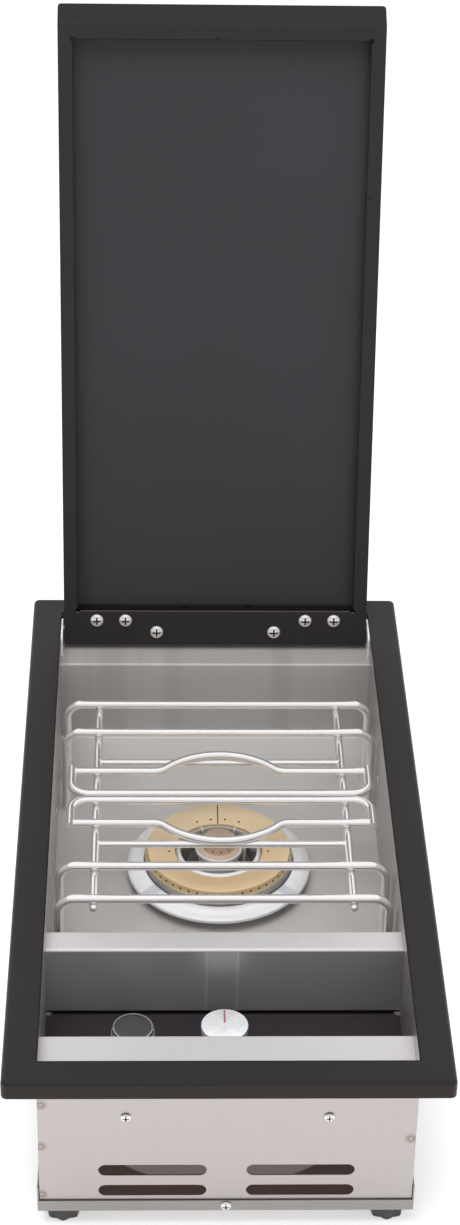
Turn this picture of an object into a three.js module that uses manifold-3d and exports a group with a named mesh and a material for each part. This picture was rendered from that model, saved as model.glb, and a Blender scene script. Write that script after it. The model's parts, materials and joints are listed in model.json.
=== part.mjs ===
// Built in side burner for an outdoor kitchen: a drop-in stainless firebox under a black trim frame, with a
// folding lid, two welded wire grates, a brass double ring burner and a control bay at the front.
// Millimetres, +Z up, front towards -Y. The pieces are laid out from the middle of the trim frame's top face,
// and the finished group is moved so that its feet stand on z = 0 under the middle of its outline.
import * as THREE from "three";
import { mergeVertices } from "three/addons/utils/BufferGeometryUtils.js";
import Module from "manifold-3d";

const wasm = await Module();
wasm.setup();

// Trim frame
const FRAME_WIDTH = 340;
const FRAME_DEPTH = 667;
const FRAME_SHEET = 1.5;
const FRAME_SKIRT = 15.5;
const FRAME_EDGE_RADIUS = 3.5;
const FRAME_CORNER_RADIUS = 5;
const FRAME_SIDE = 26.7; // width of the frame's side strips
const FRAME_END = 24.7; // width of its front and rear strips
const OPENING_WIDTH = FRAME_WIDTH - 2 * FRAME_SIDE;
const OPENING_DEPTH = FRAME_DEPTH - 2 * FRAME_END;

// Body and firebox
const SHEET = 1.2;
const SHEET_BEND = 2.2; // outside radius of the folds in the stainless sheet
const BODY_HEIGHT = 151.3; // frame top to the lower edge of the body's walls
const TOP_FLANGE = 12;
const LEDGE_DROP = 23.5; // frame top down to the rear ledge
const LEDGE_WIDTH = 51.3;
const FLOOR_RISE = 45.3; // lower edge of the walls up to the firebox floor
const DIVIDER_FRONT = 152.1; // front face of the divider, behind the opening's front edge
const DIVIDER_WIDTH = 23.7;
const RAIL_WIDTH = 51;
const RAIL_DROP = 20;
const PANEL_RISE = 66.3; // lower edge of the walls up to the control panel's face
const PANEL_SHEET = 1.5;
const VENT_INSET = 44.6; // from the opening's side to a vent's outer end
const VENT_HEIGHT = 10.9;
const VENT_GAP = 30.8; // between the left and right vents
const VENT_PITCH = 21.1;
const VENT_RISE = 40.3; // lower edge of the walls up to the upper vents

// Bottom tray and feet
const TRAY_FRONT_LIP = 10.5;
const TRAY_SIDE_LIP = 24.5;
const FIT_GAP = 0.3; // between sheets that slide over one another
const FOOT_RADIUS = 12.3;
const FOOT_LOBE = 0.9;
const FOOT_LOBES = 8;
const FOOT_HEIGHT = 15.3;
const FOOT_INSET = 16.7; // from the opening's edges to a foot's axis
const STUD_RADIUS = 4;
const STUD_LENGTH = 13; // above the foot's top

// Lid, laid out closed
const LID_GAP = 2.9; // beside the lid, to the opening's sides
const LID_REAR_GAP = 2.8;
const LID_THICKNESS = 17.5;
const LID_BORDER = 12.8;
const LID_HINGE_BORDER = 34.8;
const LID_FRONT_GAP = 23.8; // finger gap in front of the closed lid
const LID_LENGTH = OPENING_DEPTH - LID_REAR_GAP - LID_FRONT_GAP;
const LID_NOTCH = 2.4; // corner reliefs between the lid's folded borders
const LID_FRONT_SLOPE = 15; // how far the front edge leans in, from top to bottom
const LID_EDGE_RADIUS = 2.2;
const LID_HEEL_RADIUS = 4;
const LID_OPEN_ANGLE = 99.9;

// Hinge
const PIVOT_FROM_REAR = 12.7; // pin to the lid's rear edge
const PIVOT_DROP = 7.25;
const PIN_RADIUS = 2.95;
const PIN_RUNNING_GAP = 0.08;
const PLATE_SHEET = 1.8;
const PLATE_LENGTH = 35;
const PLATE_TOP_DROP = 1;
const PLATE_CORNER = 6;
const ARM_SHEET = 2;
const ARM_LENGTH = 96;
const ARM_SEAT_GAP = 0.1; // paint between the lid's border and the arm

// Grates
const BAR_RADIUS = 3.25;
const RAIL_RADIUS = 3;
const CROSS_RADIUS = 2.7;
const WELD_DEPTH = 0.6; // how far welded wires sink into each other
const BURNER_FROM_WALL = 208; // firebox's rear wall to the burner's axis, where the grates meet
const GRATE_DROP = 21.5; // frame top down to the middle of the bars
const GRATE_SIDE_GAP = 7.8; // from the firebox's sides to the middle of the legs
const GRATE_BEND = 14;
const BAR_OFFSETS = [96, 139.5]; // legged bars, from the middle line
const HOOP_OFFSET = 4.7;
const HOOP_INSET = 7.5; // from the legs to the hoop's arms
const HOOP_REACH = 41.5;
const WAVE_OFFSET = 37;
const WAVE_RISE = 24.6;
const WAVE_HALF = 58;
const WAVE_FOOT_BEND = 14;
const SIDE_RAIL_INSET = 29.5; // from the legs to the side rails
const SIDE_RAIL_END = 147;
const CROSS_OFFSET = 58.5;

// Burner, heights are above the firebox floor
const BOWL_RADIUS = 57;
const BOWL_DEPTH = 26;
const BASE_RADIUS = BOWL_RADIUS + 7.5;
const BASE_HEIGHT = 23.5;
const BASE_INNER_HEIGHT = 14; // wall between the gas channel and the air gap
const TRIM_INNER = BASE_RADIUS + 0.7;
const TRIM_RADIUS = TRIM_INNER + 15;
const TRIM_HEIGHT = 16.6;
const TRIM_EDGE_HEIGHT = 12.5;
const TRIM_LIP = 3.2; // depth of the rolled outer lip
const RING_FOOT_RADIUS = BASE_RADIUS - 0.3;
const RING_TOP_RADIUS = RING_FOOT_RADIUS - 1.9;
const RING_BORE = 38;
const RING_TOP = 30;
const RING_DISH = 2.7; // fall of the ring's top towards its bore
const RING_WALL = 3.2;
const RING_PORTS = 50;
const RING_PORT_RADIUS = 0.9;
const RING_PORT_DROP = 3.4; // ring's top down to its ports
const RING_PORT_LEAN = 0.3; // radians above level
const RING_HOLE_ANGLES = [8.4, 25.3, 94]; // degrees from the rear, on both sides
const RING_HOLE_CIRCLE = 43.2;
const RING_HOLE_RADIUS = 0.8;
const GROOVE_RADIUS = 0.6; // lighting groove along the ring's top
const CONE_MOUTH = 33;
const CONE_BORE = 27.5;
const CAP_RADIUS = 14;
const CAP_TOP = 40.5;
const CAP_HEIGHT = 18.5;
const CAP_FLANGE_RADIUS = 17.8;
const CAP_FLANGE_TOP = 31;
const CAP_PORTS = 12;
const CAP_PORT_RADIUS = 0.9;
const CAP_PORT_LIFT = 3.6; // flange's top up to the cap's ports
const CAP_TURN = 0.23; // place of the cap's first port, in port spacings
const COLLAR_RADIUS = 20.5;
const PEDESTAL_RADIUS = 17.5;
const PROBE_TOP = 26;
const PROBE_CIRCLE = 23;
const PROBE_ANGLE = 36;
const PROBE_RADIUS = 2.2;
const PROBE_REACH = 3; // how far the probes' tips lean out towards the ring

// Gas line
const MIXER_RISE = 30.3; // lower edge of the walls up to the mixer tube's axis
const MIXER_RADIUS = 11;
const MIXER_WALL = 2;
const MIXER_MOUTH = 13;
const PIPE_RADIUS = 5;
const PIPE_INSET = 25.3; // from the body's side to the pipe's run
const PIPE_BEND = 28;

// Controls, in the control bay
const CONTROL_LINE = 107.4; // from the opening's front edge
const KNOB_RADIUS = 18.8;
const KNOB_HEIGHT = 22;
const KNOB_LIFT = 4; // knob's underside above the control panel
const STEM_RADIUS = 3.7;
const STEM_GAP = 0.1; // running gap of the stem and of the plunger
const PLUNGER_RADIUS = 5.5;
const IGNITER_X = -72.8;
const IGNITER_RADIUS = 17.6;
const IGNITER_HEIGHT = 20;
const IGNITER_CLEARANCE = 12.8; // between its housing and the tray
const BUTTON_RISE = 4; // button's top above its collar
const BUTTON_GAP = 0.3;

// Screws
const FRONT_SCREW_INSET = 66; // from the opening's sides
const LID_SCREW_PLACES = [[30.4, 25], [56.9, 25], [85.9, 13.4]]; // from the lid's side and rear edges
const LID_SCREW_HEAD = 6.2;
const BODY_SCREW_HEAD = 4.3;
const WALL_SCREW_HEAD = 3.2;
const WALL_SCREWS = [
  ["wall_screw_left", -1, 88, -66],
  ["wall_screw_right", 1, 117, -52],
];

// Facets round a turned piece, by its size
const WIDE_SIDES = 36;
const MIDDLE_SIDES = 28;
const SMALL_SIDES = 16;
const SCREW_SIDES = 12;
const HOLE_SIDES = 8;

const X_AXIS = new THREE.Vector3(1, 0, 0);
const Z_AXIS = new THREE.Vector3(0, 0, 1);
const QUARTER = Math.PI / 2;

const materials = {
  blackPaint: finish(0x343436, 0.45, 0.2),
  steel: finish(0xc4bdb8, 0.32, 1),
  chrome: finish(0xe8e8ea, 0.12, 1),
  brass: finish(0xd8be82, 0.4, 1),
  copper: finish(0xd2b08c, 0.4, 1),
  castAluminium: finish(0x9a9a9a, 0.6, 0.9),
  knobAluminium: finish(0xd9dadd, 0.25, 1),
  panelBlack: finish(0x2b282c, 0.25, 0.1),
  darkPlastic: finish(0x484849, 0.5, 0),
  redPaint: finish(0xb4414e, 0.5, 0),
  ceramic: finish(0xe9e5da, 0.5, 0),
};

const burner = new THREE.Group();

function finish(color, roughness, metalness) {
  return new THREE.MeshStandardMaterial({ color, roughness, metalness });
}

// A closed geometry as a manifold solid, turned right side out.
function solid(geometry) {
  const bare = geometry.index ? geometry.toNonIndexed() : geometry.clone();
  for (const name of ["normal", "uv"]) bare.deleteAttribute(name);
  const merged = mergeVertices(bare, 1e-4);
  const vertProperties = merged.attributes.position.array;
  const triVerts = new Uint32Array(merged.index.array);
  const made = new wasm.Manifold(new wasm.Mesh({ numProp: 3, vertProperties, triVerts }));
  if (made.volume() > 0) return made;
  return new wasm.Manifold(
    new wasm.Mesh({ numProp: 3, vertProperties, triVerts: triVerts.reverse() }),
  );
}

function geometryOf(made) {
  const { vertProperties, triVerts } = made.getMesh();
  const geometry = new THREE.BufferGeometry();
  geometry.setAttribute("position", new THREE.BufferAttribute(vertProperties, 3));
  geometry.setIndex(new THREE.BufferAttribute(triVerts, 1));
  const flat = geometry.toNonIndexed();
  flat.computeVertexNormals();
  return flat;
}

function join(solids) {
  return solids.reduce((sum, next) => sum.add(next));
}

function cut(body, tools) {
  return tools.reduce((left, tool) => left.subtract(tool), body);
}

function addPiece(parent, name, made, material) {
  const mesh = new THREE.Mesh(geometryOf(made), material);
  mesh.name = name;
  parent.add(mesh);
  return mesh;
}

// A block between two corners.
function block(x0, x1, y0, y1, z0, z1) {
  const box = new THREE.BoxGeometry(Math.abs(x1 - x0), Math.abs(y1 - y0), Math.abs(z1 - z0));
  return solid(box.translate((x0 + x1) / 2, (y0 + y1) / 2, (z0 + z1) / 2));
}

// A round bar from one point along an axis.
function rod(radius, from, axis, length, sides = 20) {
  const bar = new THREE.CylinderGeometry(radius, radius, length, sides);
  bar.translate(0, length / 2, 0);
  const turn = new THREE.Quaternion().setFromUnitVectors(new THREE.Vector3(0, 1, 0), axis);
  return solid(bar.applyQuaternion(turn).translate(from.x, from.y, from.z));
}

// A profile of [radius, height] pairs spun round a vertical axis; it closes on itself or on the axis.
function spun(profile, x, y, sides) {
  const points = profile.map(([radius, height]) => new THREE.Vector2(radius, height));
  const lathe = new THREE.LatheGeometry(points, sides);
  return solid(lathe.rotateX(QUARTER).translate(x, y, 0));
}

// A spun ring whose profile is closed by repeating its first point.
function spunRing(profile, x, y, sides) {
  return spun([...profile, profile[0]], x, y, sides);
}

// A profile of [y, z] pairs drawn out along X, centred on x = 0.
function folded(profile, width) {
  const shape = new THREE.Shape(profile.map(([y, z]) => new THREE.Vector2(y, z)));
  const drawn = new THREE.ExtrudeGeometry(shape, { depth: width, bevelEnabled: false });
  drawn.applyMatrix4(new THREE.Matrix4().makeBasis(
    new THREE.Vector3(0, 1, 0), new THREE.Vector3(0, 0, 1), X_AXIS,
  ));
  return solid(drawn.translate(-width / 2, 0, 0));
}

// A folded sheet: its face follows a line of [y, z] points with rounded bends, its thickness lies on the left.
function sheetAlong(line, thickness, width) {
  const corners = line.map(([y, z]) => new THREE.Vector3(y, z, 0));
  const points = rounded(corners, SHEET_BEND).map(({ x, y }) => new THREE.Vector2(x, y));
  const offset = points.map((point, i) => {
    const into = i > 0 ? point.clone().sub(points[i - 1]).normalize() : null;
    const out = i < points.length - 1 ? points[i + 1].clone().sub(point).normalize() : null;
    const a = into ?? out;
    const b = out ?? into;
    const normal = new THREE.Vector2(-a.y - b.y, a.x + b.x).normalize();
    const miter = thickness / normal.dot(new THREE.Vector2(-a.y, a.x));
    return point.clone().addScaledVector(normal, miter);
  });
  return folded([...points, ...offset.reverse()].map((point) => [point.x, point.y]), width);
}

function roundedRectangle(width, depth, radius) {
  const x = width / 2;
  const y = depth / 2;
  const shape = new THREE.Shape();
  const corners = [[x, -y, -QUARTER], [x, y, 0], [-x, y, QUARTER], [-x, -y, 2 * QUARTER]];
  for (const [cornerX, cornerY, start] of corners) {
    const centreX = cornerX - Math.sign(cornerX) * radius;
    const centreY = cornerY - Math.sign(cornerY) * radius;
    shape.absarc(centreX, centreY, radius, start, start + QUARTER, false);
  }
  shape.closePath();
  return shape;
}

// A plate with rounded corners in plan and a rounded upper edge; its flat underside is at the given height.
function roundedPlate(width, depth, corner, edge, bottom, top, segments = 3) {
  const shape = roundedRectangle(width - 2 * edge, depth - 2 * edge, Math.max(corner - edge, 0.4));
  const plate = new THREE.ExtrudeGeometry(shape, {
    depth: top - bottom,
    bevelThickness: edge,
    bevelSize: edge,
    bevelSegments: segments,
    curveSegments: segments,
  });
  const whole = solid(plate.translate(0, 0, bottom - edge));
  return whole.subtract(block(-width, width, -depth, depth, bottom - 2 * edge - 1, bottom));
}

// A path through chosen stations, so that straight runs take no extra rings.
class Stations extends THREE.Curve {
  constructor(points) {
    super();
    this.points = points;
  }

  getPoint(t, target = new THREE.Vector3()) {
    const place = t * (this.points.length - 1);
    const i = Math.min(Math.floor(place + 1e-9), this.points.length - 2);
    return target.copy(this.points[i]).lerp(this.points[i + 1], place - i);
  }

  getPointAt(u, target) {
    return this.getPoint(u, target);
  }

  getSpacedPoints(divisions) {
    return this.getPoints(divisions);
  }

  getTangentAt(u, target = new THREE.Vector3()) {
    const i = Math.round(u * (this.points.length - 1));
    const last = this.points.length - 1;
    const into = this.points[Math.max(i, 1)].clone().sub(this.points[Math.max(i, 1) - 1]);
    const out = this.points[Math.min(i + 1, last)].clone().sub(this.points[Math.min(i, last - 1)]);
    return target.copy(into.normalize()).add(out.normalize()).normalize();
  }
}

// Round wire along stations.
function wire(points, radius, sides = 8) {
  const section = new THREE.Shape();
  section.absarc(0, 0, radius, 0, 2 * Math.PI, false);
  const swept = new THREE.ExtrudeGeometry(section, {
    steps: points.length - 1,
    curveSegments: sides / 2,
    extrudePath: new Stations(points),
  });
  return solid(swept);
}

// Stations round corners: each inner corner of the line becomes an arc of the given radius.
function rounded(corners, radius, segments = 3) {
  const stations = [corners[0]];
  for (let i = 1; i < corners.length - 1; i++) {
    const into = corners[i - 1].clone().sub(corners[i]).normalize();
    const out = corners[i + 1].clone().sub(corners[i]).normalize();
    const half = Math.acos(into.dot(out)) / 2;
    const centre = corners[i].clone().addScaledVector(
      into.clone().add(out).normalize(), radius / Math.sin(half),
    );
    const start = corners[i].clone().addScaledVector(into, radius / Math.tan(half)).sub(centre);
    const end = corners[i].clone().addScaledVector(out, radius / Math.tan(half)).sub(centre);
    const sweep = Math.PI - 2 * half;
    for (let j = 0; j <= segments; j++) {
      const along = (j / segments) * sweep;
      const point = start.clone().multiplyScalar(Math.sin(sweep - along) / Math.sin(sweep));
      point.addScaledVector(end, Math.sin(along) / Math.sin(sweep));
      stations.push(point.add(centre));
    }
  }
  stations.push(corners[corners.length - 1]);
  return stations;
}

// Sizes that several pieces share
const halfOpening = OPENING_WIDTH / 2;
const openingFront = -OPENING_DEPTH / 2;
const openingRear = OPENING_DEPTH / 2;
const bodySide = halfOpening + SHEET;
const bodyFront = openingFront - SHEET;
const bodyRear = openingRear + SHEET;
const frameUnderside = -FRAME_SHEET;
const trayTop = -BODY_HEIGHT;
const trayBottom = trayTop - SHEET;
const ledgeFront = openingRear - LEDGE_WIDTH;
const burnerY = ledgeFront - BURNER_FROM_WALL;
const pipeX = halfOpening - PIPE_INSET;
const floorTop = trayTop + FLOOR_RISE;
const dividerFront = openingFront + DIVIDER_FRONT;
const dividerRear = dividerFront + DIVIDER_WIDTH;
const railRear = openingFront + RAIL_WIDTH;
const panelTop = trayTop + PANEL_RISE;
const panelUnderside = panelTop - PANEL_SHEET;
const controlY = openingFront + CONTROL_LINE;
const mixerZ = trayTop + MIXER_RISE;
const valveOutlet = new THREE.Vector3(0, controlY + 20, mixerZ);
const fittingY = bodyRear;

function addTrimFrame() {
  const shell = roundedPlate(
    FRAME_WIDTH, FRAME_DEPTH, FRAME_CORNER_RADIUS, FRAME_EDGE_RADIUS, -FRAME_SKIRT, 0,
  );
  const hollow = roundedPlate(
    FRAME_WIDTH - 2 * FRAME_SHEET, FRAME_DEPTH - 2 * FRAME_SHEET,
    FRAME_CORNER_RADIUS - FRAME_SHEET, FRAME_EDGE_RADIUS - FRAME_SHEET, -FRAME_SKIRT - 1, frameUnderside, 2,
  );
  const opening = block(-halfOpening, halfOpening, openingFront, openingRear, -FRAME_SKIRT, 1);
  addPiece(burner, "trim_frame", cut(shell, [hollow, opening]), materials.blackPaint);
}

function addSidePanels() {
  for (const [label, side] of [["left", -1], ["right", 1]]) {
    const wall = block(
      side * halfOpening, side * bodySide, openingFront, openingRear, trayTop, frameUnderside,
    );
    const flange = block(
      side * bodySide, side * (bodySide + TOP_FLANGE), openingFront, openingRear,
      frameUnderside - SHEET, frameUnderside,
    );
    const [, , screwY, screwZ] = WALL_SCREWS.find((entry) => entry[1] === side);
    const start = new THREE.Vector3(side * (halfOpening - 1), screwY, screwZ);
    const hole = rod(screwHole, start, new THREE.Vector3(side, 0, 0), 4, HOLE_SIDES);
    addPiece(burner, `side_panel_${label}`, join([wall, flange]).subtract(hole), materials.steel);
  }
}

// The front or rear wall of the body, with its outward flange under the trim frame.
function endPanel(inner, outer) {
  const outward = Math.sign(outer - inner);
  const wall = block(-bodySide, bodySide, inner, outer, trayTop, frameUnderside);
  const flange = block(
    -bodySide, bodySide, outer, outer + outward * TOP_FLANGE, frameUnderside - SHEET, frameUnderside,
  );
  return join([wall, flange]);
}

const ventLength = halfOpening - VENT_INSET - VENT_GAP / 2;

function vent(x, z) {
  const radius = VENT_HEIGHT / 2;
  const half = ventLength / 2 - radius;
  const shape = new THREE.Shape();
  shape.absarc(half, 0, radius, -QUARTER, QUARTER, false);
  shape.absarc(-half, 0, radius, QUARTER, 3 * QUARTER, false);
  const depth = 8 * SHEET;
  const slot = new THREE.ExtrudeGeometry(shape, { depth, bevelEnabled: false, curveSegments: 5 });
  slot.translate(0, 0, -depth / 2).rotateX(QUARTER);
  return solid(slot.translate(x, bodyFront, z));
}

const frontScrewX = halfOpening - FRONT_SCREW_INSET;
const frontScrewZ = -56;
const trayScrewZ = trayTop + 4.1;
const screwShank = 2;
const screwHole = screwShank + 0.3;
const inward = new THREE.Vector3(0, 1, 0);
const outward = new THREE.Vector3(0, -1, 0);

function addFrontPanel() {
  const vents = [];
  for (const side of [-1, 1]) {
    const x = (side * (VENT_GAP + ventLength)) / 2;
    for (const row of [0, 1]) vents.push(vent(x, trayTop + VENT_RISE - row * VENT_PITCH));
  }
  const holes = [-frontScrewX, frontScrewX].map((x) =>
    rod(screwHole, new THREE.Vector3(x, bodyFront - 1, frontScrewZ), inward, 6, HOLE_SIDES),
  );
  holes.push(rod(screwHole, new THREE.Vector3(0, bodyFront - 1, trayScrewZ), inward, 6, HOLE_SIDES));
  addPiece(
    burner, "front_panel", cut(endPanel(openingFront, bodyFront), [...vents, ...holes]), materials.steel,
  );
}

function addRearPanel() {
  const inlet = rod(
    PIPE_RADIUS + 2.5, new THREE.Vector3(pipeX, bodyRear + 1, mixerZ), outward, 6, 16,
  );
  const screw = rod(screwHole, new THREE.Vector3(0, bodyRear + 1, trayScrewZ), outward, 6, HOLE_SIDES);
  addPiece(burner, "rear_panel", cut(endPanel(openingRear, bodyRear), [inlet, screw]), materials.steel);
}

function footPlaces() {
  const places = [];
  for (const [end, y] of [["front", -1], ["rear", 1]])
    for (const [side, x] of [["left", -1], ["right", 1]])
      places.push({
        name: `foot_${end}_${side}`,
        x: x * (halfOpening - FOOT_INSET),
        y: y * (openingRear - FOOT_INSET),
      });
  return places;
}

function addBottomTray() {
  const side = bodySide + FIT_GAP + SHEET;
  const end = -bodyFront + FIT_GAP + SHEET;
  const pan = join([
    block(-side, side, -end, end, trayBottom, trayTop),
    block(-side, side, -end, -end + SHEET, trayTop, trayBottom + TRAY_FRONT_LIP),
    block(-side, side, end - SHEET, end, trayTop, trayBottom + TRAY_FRONT_LIP),
    block(-side, -side + SHEET, -end, end, trayTop, trayBottom + TRAY_SIDE_LIP),
    block(side - SHEET, side, -end, end, trayTop, trayBottom + TRAY_SIDE_LIP),
  ]);
  const holes = footPlaces().map(({ x, y }) =>
    rod(STUD_RADIUS + 0.2, new THREE.Vector3(x, y, trayBottom - 1), Z_AXIS, 4, SCREW_SIDES),
  );
  for (const direction of [inward, outward]) {
    const from = new THREE.Vector3(0, -direction.y * (end + 1), trayScrewZ);
    holes.push(rod(screwHole, from, direction, 4, HOLE_SIDES));
  }
  addPiece(burner, "bottom_tray", cut(pan, holes), materials.steel);
}

// Ledge, rear wall and floor of the firebox, one folded sheet that also runs on under the divider.
function addFireboxLiner() {
  const line = [
    [dividerFront + 6, floorTop],
    [ledgeFront, floorTop],
    [ledgeFront, -LEDGE_DROP],
    [openingRear, -LEDGE_DROP],
  ];
  const liner = sheetAlong(line.reverse(), SHEET, OPENING_WIDTH);
  const hole = rod(
    BOWL_RADIUS + 1, new THREE.Vector3(0, burnerY, floorTop - 5), Z_AXIS, 10, MIDDLE_SIDES,
  );
  addPiece(burner, "firebox_liner", liner.subtract(hole), materials.steel);
}

function addDivider() {
  const line = [
    [dividerFront, panelTop - 12],
    [dividerFront, -RAIL_DROP],
    [dividerRear, -RAIL_DROP],
    [dividerRear, floorTop],
  ];
  addPiece(burner, "divider", sheetAlong(line.reverse(), SHEET, OPENING_WIDTH), materials.steel);
}

function addFrontRail() {
  const line = [
    [openingFront, frontScrewZ - 8],
    [openingFront, -RAIL_DROP],
    [railRear, -RAIL_DROP],
    [railRear, panelUnderside - 8],
  ];
  const holes = [-frontScrewX, frontScrewX].map((x) =>
    rod(screwHole, new THREE.Vector3(x, openingFront - 1, frontScrewZ), inward, 4, HOLE_SIDES),
  );
  const rail = sheetAlong(line.reverse(), SHEET, OPENING_WIDTH);
  addPiece(burner, "front_rail", cut(rail, holes), materials.steel);
}

function addControlPanel() {
  const plate = block(-halfOpening, halfOpening, railRear, dividerFront, panelUnderside, panelTop);
  const stemHole = rod(
    PLUNGER_RADIUS + 1, new THREE.Vector3(0, controlY, panelUnderside - 1), Z_AXIS, 4, SMALL_SIDES,
  );
  const igniterHole = rod(
    igniterNeck + 0.3, new THREE.Vector3(IGNITER_X, controlY, panelUnderside - 1), Z_AXIS, 4, SMALL_SIDES,
  );
  addPiece(burner, "control_panel", cut(plate, [stemHole, igniterHole]), materials.panelBlack);
}

// A pan head screw whose underside of the head is at a point, with the shank running on along an axis.
function screw(point, axis, headRadius, headHeight, shankLength) {
  const profile = [
    [0, -shankLength],
    [screwShank, -shankLength],
    [screwShank, 0],
    [headRadius, 0],
    [headRadius, headHeight * 0.35],
    [headRadius * 0.7, headHeight * 0.9],
    [0, headHeight],
  ].map(([radius, height]) => new THREE.Vector2(radius, height));
  const lathe = new THREE.LatheGeometry(profile, SCREW_SIDES);
  const turn = new THREE.Quaternion().setFromUnitVectors(
    new THREE.Vector3(0, 1, 0), axis.clone().negate(),
  );
  return solid(lathe.applyQuaternion(turn).translate(point.x, point.y, point.z));
}

function addBodyScrews() {
  for (const [name, x] of [["front_screw_left", -frontScrewX], ["front_screw_right", frontScrewX]]) {
    const seat = new THREE.Vector3(x, bodyFront, frontScrewZ);
    addPiece(burner, name, screw(seat, inward, BODY_SCREW_HEAD, 2.6, 8), materials.chrome);
  }
  for (const [name, side, y, z] of WALL_SCREWS) {
    const seat = new THREE.Vector3(side * halfOpening, y, z);
    const axis = new THREE.Vector3(side, 0, 0);
    addPiece(burner, name, screw(seat, axis, WALL_SCREW_HEAD, 1.8, 5), materials.chrome);
  }
  const trayFace = -bodyFront + FIT_GAP + SHEET;
  for (const [name, axis] of [["tray_screw_front", inward], ["tray_screw_rear", outward]]) {
    const seat = new THREE.Vector3(0, -axis.y * trayFace, trayScrewZ);
    addPiece(burner, name, screw(seat, axis, BODY_SCREW_HEAD, 2.6, 8), materials.chrome);
  }
}

// A levelling foot: a lobed plastic knob moulded round the stud that screws through the tray.
function addFeet() {
  const top = trayBottom - 0.2;
  const bottom = top - FOOT_HEIGHT;
  const outline = new THREE.Shape();
  const steps = FOOT_LOBES * 4;
  for (let i = 0; i < steps; i++) {
    const angle = (2 * Math.PI * i) / steps;
    const radius = FOOT_RADIUS + FOOT_LOBE * Math.cos(FOOT_LOBES * angle);
    const point = [radius * Math.cos(angle), radius * Math.sin(angle)];
    if (i === 0) outline.moveTo(...point);
    else outline.lineTo(...point);
  }
  outline.closePath();
  const grip = new THREE.ExtrudeGeometry(outline, { depth: FOOT_HEIGHT * 0.72, bevelEnabled: false });
  grip.translate(0, 0, bottom);
  for (const { name, x, y } of footPlaces()) {
    const lobed = solid(grip.clone().translate(x, y, 0));
    const hub = rod(
      FOOT_RADIUS * 0.62, new THREE.Vector3(x, y, bottom + 1), Z_AXIS, FOOT_HEIGHT - 1, SCREW_SIDES,
    );
    const stud = rod(
      STUD_RADIUS, new THREE.Vector3(x, y, bottom + 2), Z_AXIS, FOOT_HEIGHT - 2 + STUD_LENGTH, SCREW_SIDES,
    );
    addPiece(burner, name, join([lobed, hub, stud]), materials.darkPlastic);
  }
}

// One grate, laid out from the middle line: offsets grow away from it, and side is +1 for the rear one.
function grate(side) {
  const top = -GRATE_DROP;
  const at = (x, offset, z) => new THREE.Vector3(x, burnerY + side * offset, z);
  const leg = halfOpening - GRATE_SIDE_GAP;
  const wires = BAR_OFFSETS.map((offset) =>
    wire(rounded([
      at(-leg, offset, floorTop), at(-leg, offset, top), at(leg, offset, top), at(leg, offset, floorTop),
    ], GRATE_BEND), BAR_RADIUS),
  );
  const arm = leg - HOOP_INSET;
  wires.push(wire(rounded([
    at(-arm, HOOP_REACH, top), at(-arm, HOOP_OFFSET, top), at(arm, HOOP_OFFSET, top), at(arm, HOOP_REACH, top),
  ], GRATE_BEND), BAR_RADIUS));
  wires.push(wire(waveStations(at, arm - BAR_RADIUS + WELD_DEPTH, top), BAR_RADIUS));
  const railZ = top - BAR_RADIUS - RAIL_RADIUS + WELD_DEPTH;
  const railX = leg - SIDE_RAIL_INSET;
  for (const x of [-railX, railX])
    wires.push(domedRail(at(x, HOOP_OFFSET - BAR_RADIUS, railZ), at(x, SIDE_RAIL_END, railZ)));
  const crossEnd = railX - RAIL_RADIUS + WELD_DEPTH;
  wires.push(wire([at(-crossEnd, CROSS_OFFSET, railZ), at(crossEnd, CROSS_OFFSET, railZ)], CROSS_RADIUS));
  return join(wires);
}

// A side rail of the grate, with its outer end rounded over.
function domedRail(inner, outer) {
  const axis = outer.clone().sub(inner);
  const length = axis.length();
  const profile = [
    [0, 0], [RAIL_RADIUS, 0], [RAIL_RADIUS, length - 1.6], [RAIL_RADIUS * 0.72, length - 0.4], [0, length],
  ].map(([radius, along]) => new THREE.Vector2(radius, along));
  const turn = new THREE.Quaternion().setFromUnitVectors(new THREE.Vector3(0, 1, 0), axis.normalize());
  return solid(new THREE.LatheGeometry(profile, 8).applyQuaternion(turn).translate(...inner.toArray()));
}

// The bar that swings out round the middle of the burner: two foot bends and one wide arc between them.
function waveStations(at, end, z) {
  const slope = 2 * Math.atan(WAVE_RISE / WAVE_HALF);
  const crownRadius = WAVE_HALF / Math.sin(slope) - WAVE_FOOT_BEND;
  const half = [];
  for (let i = 0; i <= 3; i++) {
    const angle = (slope * i) / 3;
    half.push([
      -WAVE_HALF + WAVE_FOOT_BEND * Math.sin(angle), WAVE_FOOT_BEND * (1 - Math.cos(angle)),
    ]);
  }
  for (let i = 4; i >= 0; i--) {
    const angle = (slope * i) / 5;
    half.push([-crownRadius * Math.sin(angle), WAVE_RISE - crownRadius * (1 - Math.cos(angle))]);
  }
  const mirrored = half.slice(0, -1).reverse().map(([x, rise]) => [-x, rise]);
  return [[-end, 0], ...half, ...mirrored, [end, 0]].map(([x, rise]) => at(x, WAVE_OFFSET + rise, z));
}

function addGrates() {
  addPiece(burner, "rear_grate", grate(1), materials.chrome);
  addPiece(burner, "front_grate", grate(-1), materials.chrome);
}

function addTrimRing() {
  const thickness = 1;
  const top = floorTop + TRIM_HEIGHT;
  const edge = floorTop + TRIM_EDGE_HEIGHT;
  const profile = [
    [TRIM_INNER, floorTop],
    [TRIM_INNER + thickness, floorTop],
    [TRIM_INNER + thickness, top - thickness],
    [TRIM_RADIUS - thickness, edge - thickness],
    [TRIM_RADIUS - thickness, edge - TRIM_LIP],
    [TRIM_RADIUS, edge - TRIM_LIP],
    [TRIM_RADIUS, edge],
    [TRIM_INNER, top],
  ];
  addPiece(burner, "trim_ring", spunRing(profile, 0, burnerY, WIDE_SIDES), materials.chrome);
}

const pedestalTop = floorTop + CAP_TOP - CAP_HEIGHT;
const innerWall = CONE_BORE + 0.5;

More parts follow.
